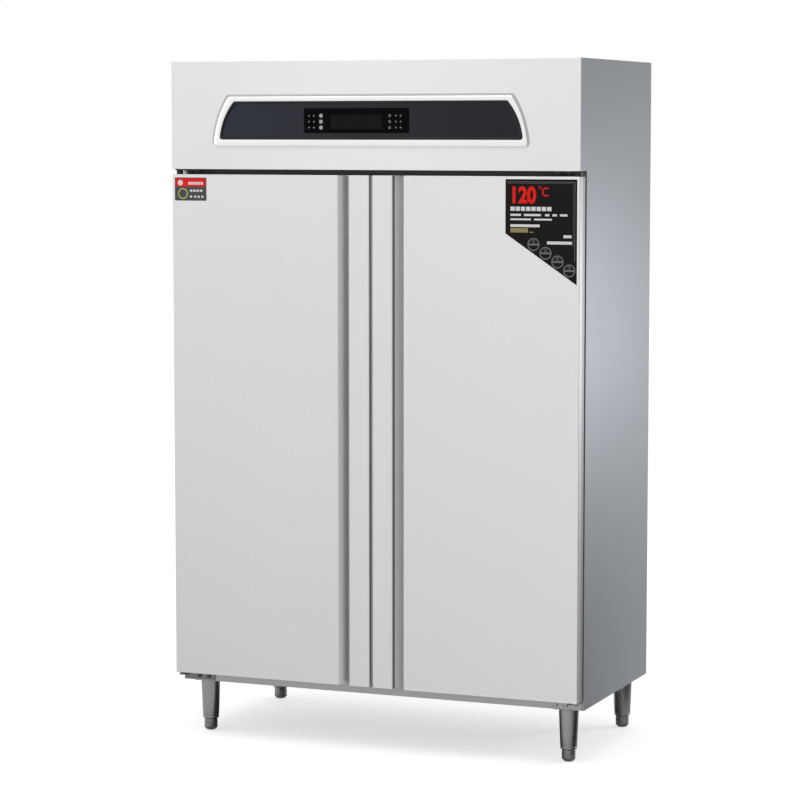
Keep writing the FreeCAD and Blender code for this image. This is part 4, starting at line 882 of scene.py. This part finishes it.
printed("right_label_rings", ink_grey, "right_door", *rings)


def number_piece(text, across, up, height, squeeze, weight):
    """Figures printed on a label, set from their lower left corner."""
    bpy.ops.object.select_all(action="DESELECT")
    bpy.ops.object.text_add(location=(across, LABEL_FACE, up), rotation=(math.pi / 2, 0, 0))
    words = bpy.context.object
    words.data.body = text
    words.data.size = height / 0.729
    words.data.offset = weight
    words.data.extrude = 0.00003
    bpy.ops.object.convert(target="MESH")
    words = bpy.context.object
    words.scale = (squeeze, 1, 1)
    bpy.ops.object.transform_apply(location=False, rotation=False, scale=True)
    return words


printed("right_label_number", ink_red, "right_door",
        number_piece("120", 0.4120, 1.5592, 0.044, 0.84, 0.0024),
        number_piece("C", 0.5045, 1.5765, 0.0255, 0.85, 0.0003),
        shape_piece((0.4995, LABEL_FACE, 1.6000), 20, 0.0042, INK, hole=0.0015))

plate = shape_piece(((-0.607, face, 1.5550), (-0.507, face, 1.6210)), depth=FILM, rounding=0.002)
attach(joined("left_label", plate), film_grey, "left_door")
printed("left_label_red", ink_red, "left_door", bar(-604, -510.5, 1595.5, 1618.5))
printed("left_label_white", ink_white, "left_door",
        *[bar(left, left + 6.4, 1600.5, 1608.5, LABEL_FACE - INK)
          for left in (-564, -556, -548, -540, -532, -524)],
        shape_piece((-0.5895, LABEL_FACE - INK, 1.6060), 24, 0.0080, INK),
        *[bar(left, left + 8, 1580.5, 1586.5) for left in (-559, -548.5, -538, -527.5)],
        *[bar(left, left + 6.5, 1563.5, 1569.5) for left in (-559, -546, -534.5, -523)])
printed("left_label_ring", ink_yellow, "left_door",
        shape_piece((-0.5815, LABEL_FACE, 1.5752), 32, 0.0155, INK, hole=0.0032))


# ---------------------------------------------------------------- legs and feet
# Four tapered legs are turned from steel tube and brushed round; each hangs from a square plate
# that four bolts hold under the base. A levelling foot screws up into it on a threaded neck.

def turned_piece(across, along, rings, sides=64):
    """A turned solid through rings of radius and height, about an upright axis."""
    radius, level = rings[0]
    bpy.ops.object.select_all(action="DESELECT")
    bpy.ops.mesh.primitive_circle_add(vertices=sides, radius=radius, fill_type="NGON",
                                      location=(across, along, level))
    bpy.ops.object.transform_apply(location=True, rotation=True, scale=True)
    bpy.ops.object.mode_set(mode="EDIT")
    bpy.ops.mesh.select_all(action="SELECT")
    for wider, higher in rings[1:]:
        bpy.ops.mesh.extrude_region_move(TRANSFORM_OT_translate={"value": (0, 0, higher - level)})
        bpy.ops.transform.resize(value=(wider / radius, wider / radius, 1),
                                 center_override=(across, along, higher))
        radius, level = wider, higher
    close_shape()
    bpy.ops.object.shade_smooth_by_angle(angle=math.radians(28))
    return bpy.context.object


def bolt_head(place, radius, height, turn, sides=6):
    """A bolt or screw head with a washer face, standing on a place along its own axis."""
    bpy.ops.object.select_all(action="DESELECT")
    bpy.ops.mesh.primitive_cylinder_add(vertices=sides, radius=radius, depth=height,
                                        location=(0, 0, height / 2))
    head = bpy.context.object
    bpy.ops.object.transform_apply(location=True, rotation=True, scale=True)
    edit_faces(head, lambda face: face.center.z > height * 0.9)
    bpy.ops.mesh.inset(thickness=radius * 0.22)
    bpy.ops.transform.translate(value=(0, 0, height * 0.14))
    bpy.ops.mesh.inset(thickness=radius * 0.22)
    bpy.ops.mesh.extrude_region_move(TRANSFORM_OT_translate={"value": (0, 0, -height * 0.4)})
    leave_edit()
    head.rotation_euler = turn
    head.location = place
    bpy.ops.object.transform_apply(location=True, rotation=True, scale=True)
    bpy.ops.object.shade_smooth_by_angle(angle=math.radians(30))
    return head


DOWN, FORWARD, BACKWARD = (math.pi, 0, 0), (math.pi / 2, 0, 0), (-math.pi / 2, 0, 0)

leg_steel = new_material("leg_steel", (0.38, 0.377, 0.373), 0.27, grain=0.32,
                         stretch=(170, 170, 120), handling=0.2, edge=0.25, relief=0.5,
                         Metallic=1.0)
foot_steel = new_material("foot_steel", (0.36, 0.357, 0.353), 0.32, grain=0.35,
                          stretch=(200, 200, 140), handling=0.2, edge=0.2, relief=0.5,
                          Metallic=1.0)
zinc = new_material("zinc", (0.50, 0.50, 0.49), 0.36, grain=0.15, stretch=300,
                    edge=0.3, Metallic=1.0)
dark_zinc = new_material("dark_zinc", (0.10, 0.10, 0.105), 0.40, grain=0.15,
                         stretch=300, edge=0.5, Metallic=0.9)
PLATE_HALF, PLATE_LOW, PLATE_HIGH = 0.036, 0.151, 0.155
BOLT_REACH = 0.0285
THREAD_LOW, THREAD_PITCH, THREAD_TURNS = 0.0344, 0.0026, 17
LEG_RINGS = [(0.0171, 0.100), (0.0171, 0.0365), (0.0178, 0.0355), (0.0226, 0.0355),
             (0.0233, 0.0362), (0.02345, 0.0405), (0.0230, 0.0413), (0.0230, 0.0424),
             (0.02365, 0.0432), (0.0278, 0.1450), (0.0278, 0.1472), (0.0292, 0.1478),
             (0.0292, 0.1509)]
legs, bolts = [], []
for end in ("front", "rear"):
    for side in ("left", "right"):
        low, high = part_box(f"{end}_{side}_foot")
        across, along = (low.x + high.x) / 2, (low.y + high.y) / 2
        legs.append(turned_piece(across, along, LEG_RINGS))
        legs.append(box_piece((across - PLATE_HALF, along - PLATE_HALF, PLATE_LOW),
                              (across + PLATE_HALF, along + PLATE_HALF, PLATE_HIGH), 0.0012))
        bolts += [bolt_head((across + x, along + y, PLATE_LOW), 0.0045, 0.0015, DOWN)
                  for x in (-BOLT_REACH, BOLT_REACH) for y in (-BOLT_REACH, BOLT_REACH)]
        rings = [(0.0118, 0), (0.0128, 0.0006), (0.0186, 0.0062), (0.0191, 0.0075),
                 (0.0191, 0.0135), (0.0184, 0.0142), (0.0184, 0.0155), (0.0191, 0.0162),
                 (0.0191, 0.0322), (0.0184, 0.0332), (0.0160, 0.0332)]
        for turn in range(THREAD_TURNS):
            level = THREAD_LOW + turn * THREAD_PITCH
            rings += [(0.0162, level), (0.0169, level + 0.0008), (0.0169, level + 0.0012),
                      (0.0162, level + 0.0020)]
        foot = joined(f"{end}_{side}_foot_turned", turned_piece(across, along, rings, 48))
        attach(foot, foot_steel, f"{end}_{side}_levelling_foot")
        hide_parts(f"{end}_{side}_foot")
legs = attach(joined("tapered_legs", *legs), leg_steel, "cabinet")
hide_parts("legs")
attach(joined("leg_bolts", *bolts), dark_zinc, "cabinet")


# ---------------------------------------------------------------- screws
# Hexagon bolts hold the hinges, and pan-head screws hold the back and the sheets of the air
# duct. They are zinc plated, driven home on the face that they clamp.
HINGE_PLATE = 0.004
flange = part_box("lower_hinges")[1].y - HINGE_PLATE
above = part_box("upper_hinges")[1].z - HINGE_PLATE
# The lower left hinge's bolts take the dark zinc and the right one's the pale zinc, painted shade
# on the left and painted light on the right.
for side, name, coat in ((-1, "left", dark_zinc), (1, "right", zinc)):
    bolts = [bolt_head((side * across, flange, 0.1695), 0.0058, 0.0035, FORWARD)
             for across in (0.564, 0.534)]
    attach(joined(f"lower_{name}_hinge_bolts", *bolts), coat, "cabinet")
bolts = [bolt_head((across, along, above), 0.0055, 0.0032, DOWN)
         for across in (-0.575, -0.545, 0.545, 0.575) for along in (-0.308, -0.290)]
attach(joined("upper_hinge_bolts", *bolts), dark_zinc, "cabinet")


def pan_head(place, radius, height, turn):
    return bolt_head(place, radius, height, turn, sides=16)


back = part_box("rear_panel")[1].y
places = [(side * 0.605, back, level)
          for side in (-1, 1) for level in (0.18, 0.53, 0.88, 1.23, 1.58, 1.925)]
places += [(across, back, level)
           for across in (-0.36, -0.12, 0.12, 0.36) for level in (0.163, 1.938)]
screws = [pan_head(place, 0.0042, 0.0018, BACKWARD) for place in places]
attach(joined("back_screws", *screws), zinc, "cabinet")

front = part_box("rear_air_panel")[0].y
screws = [pan_head((across, front, level), 0.0045, 0.0020, FORWARD)
          for across in (-0.545, 0.0, 0.545) for level in (0.245, 0.86, 1.475)]
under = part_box("duct_plate")[0].z
screws += [pan_head((across, along, under), 0.0045, 0.0020, DOWN)
           for across in (-0.52, -0.26, 0.26, 0.52) for along in (-0.195, 0.205)]
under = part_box("fan_guard")[0].z
GUARD_SCREW_REACH = 0.112
for corner in range(4):
    turn = math.tau * corner / 4 + 0.2
    place = (GUARD_SCREW_REACH * math.cos(turn), GUARD_SCREW_REACH * math.sin(turn), under)
    screws.append(pan_head(place, 0.003, 0.0016, DOWN))
attach(joined("cavity_screws", *screws), zinc, "cabinet")
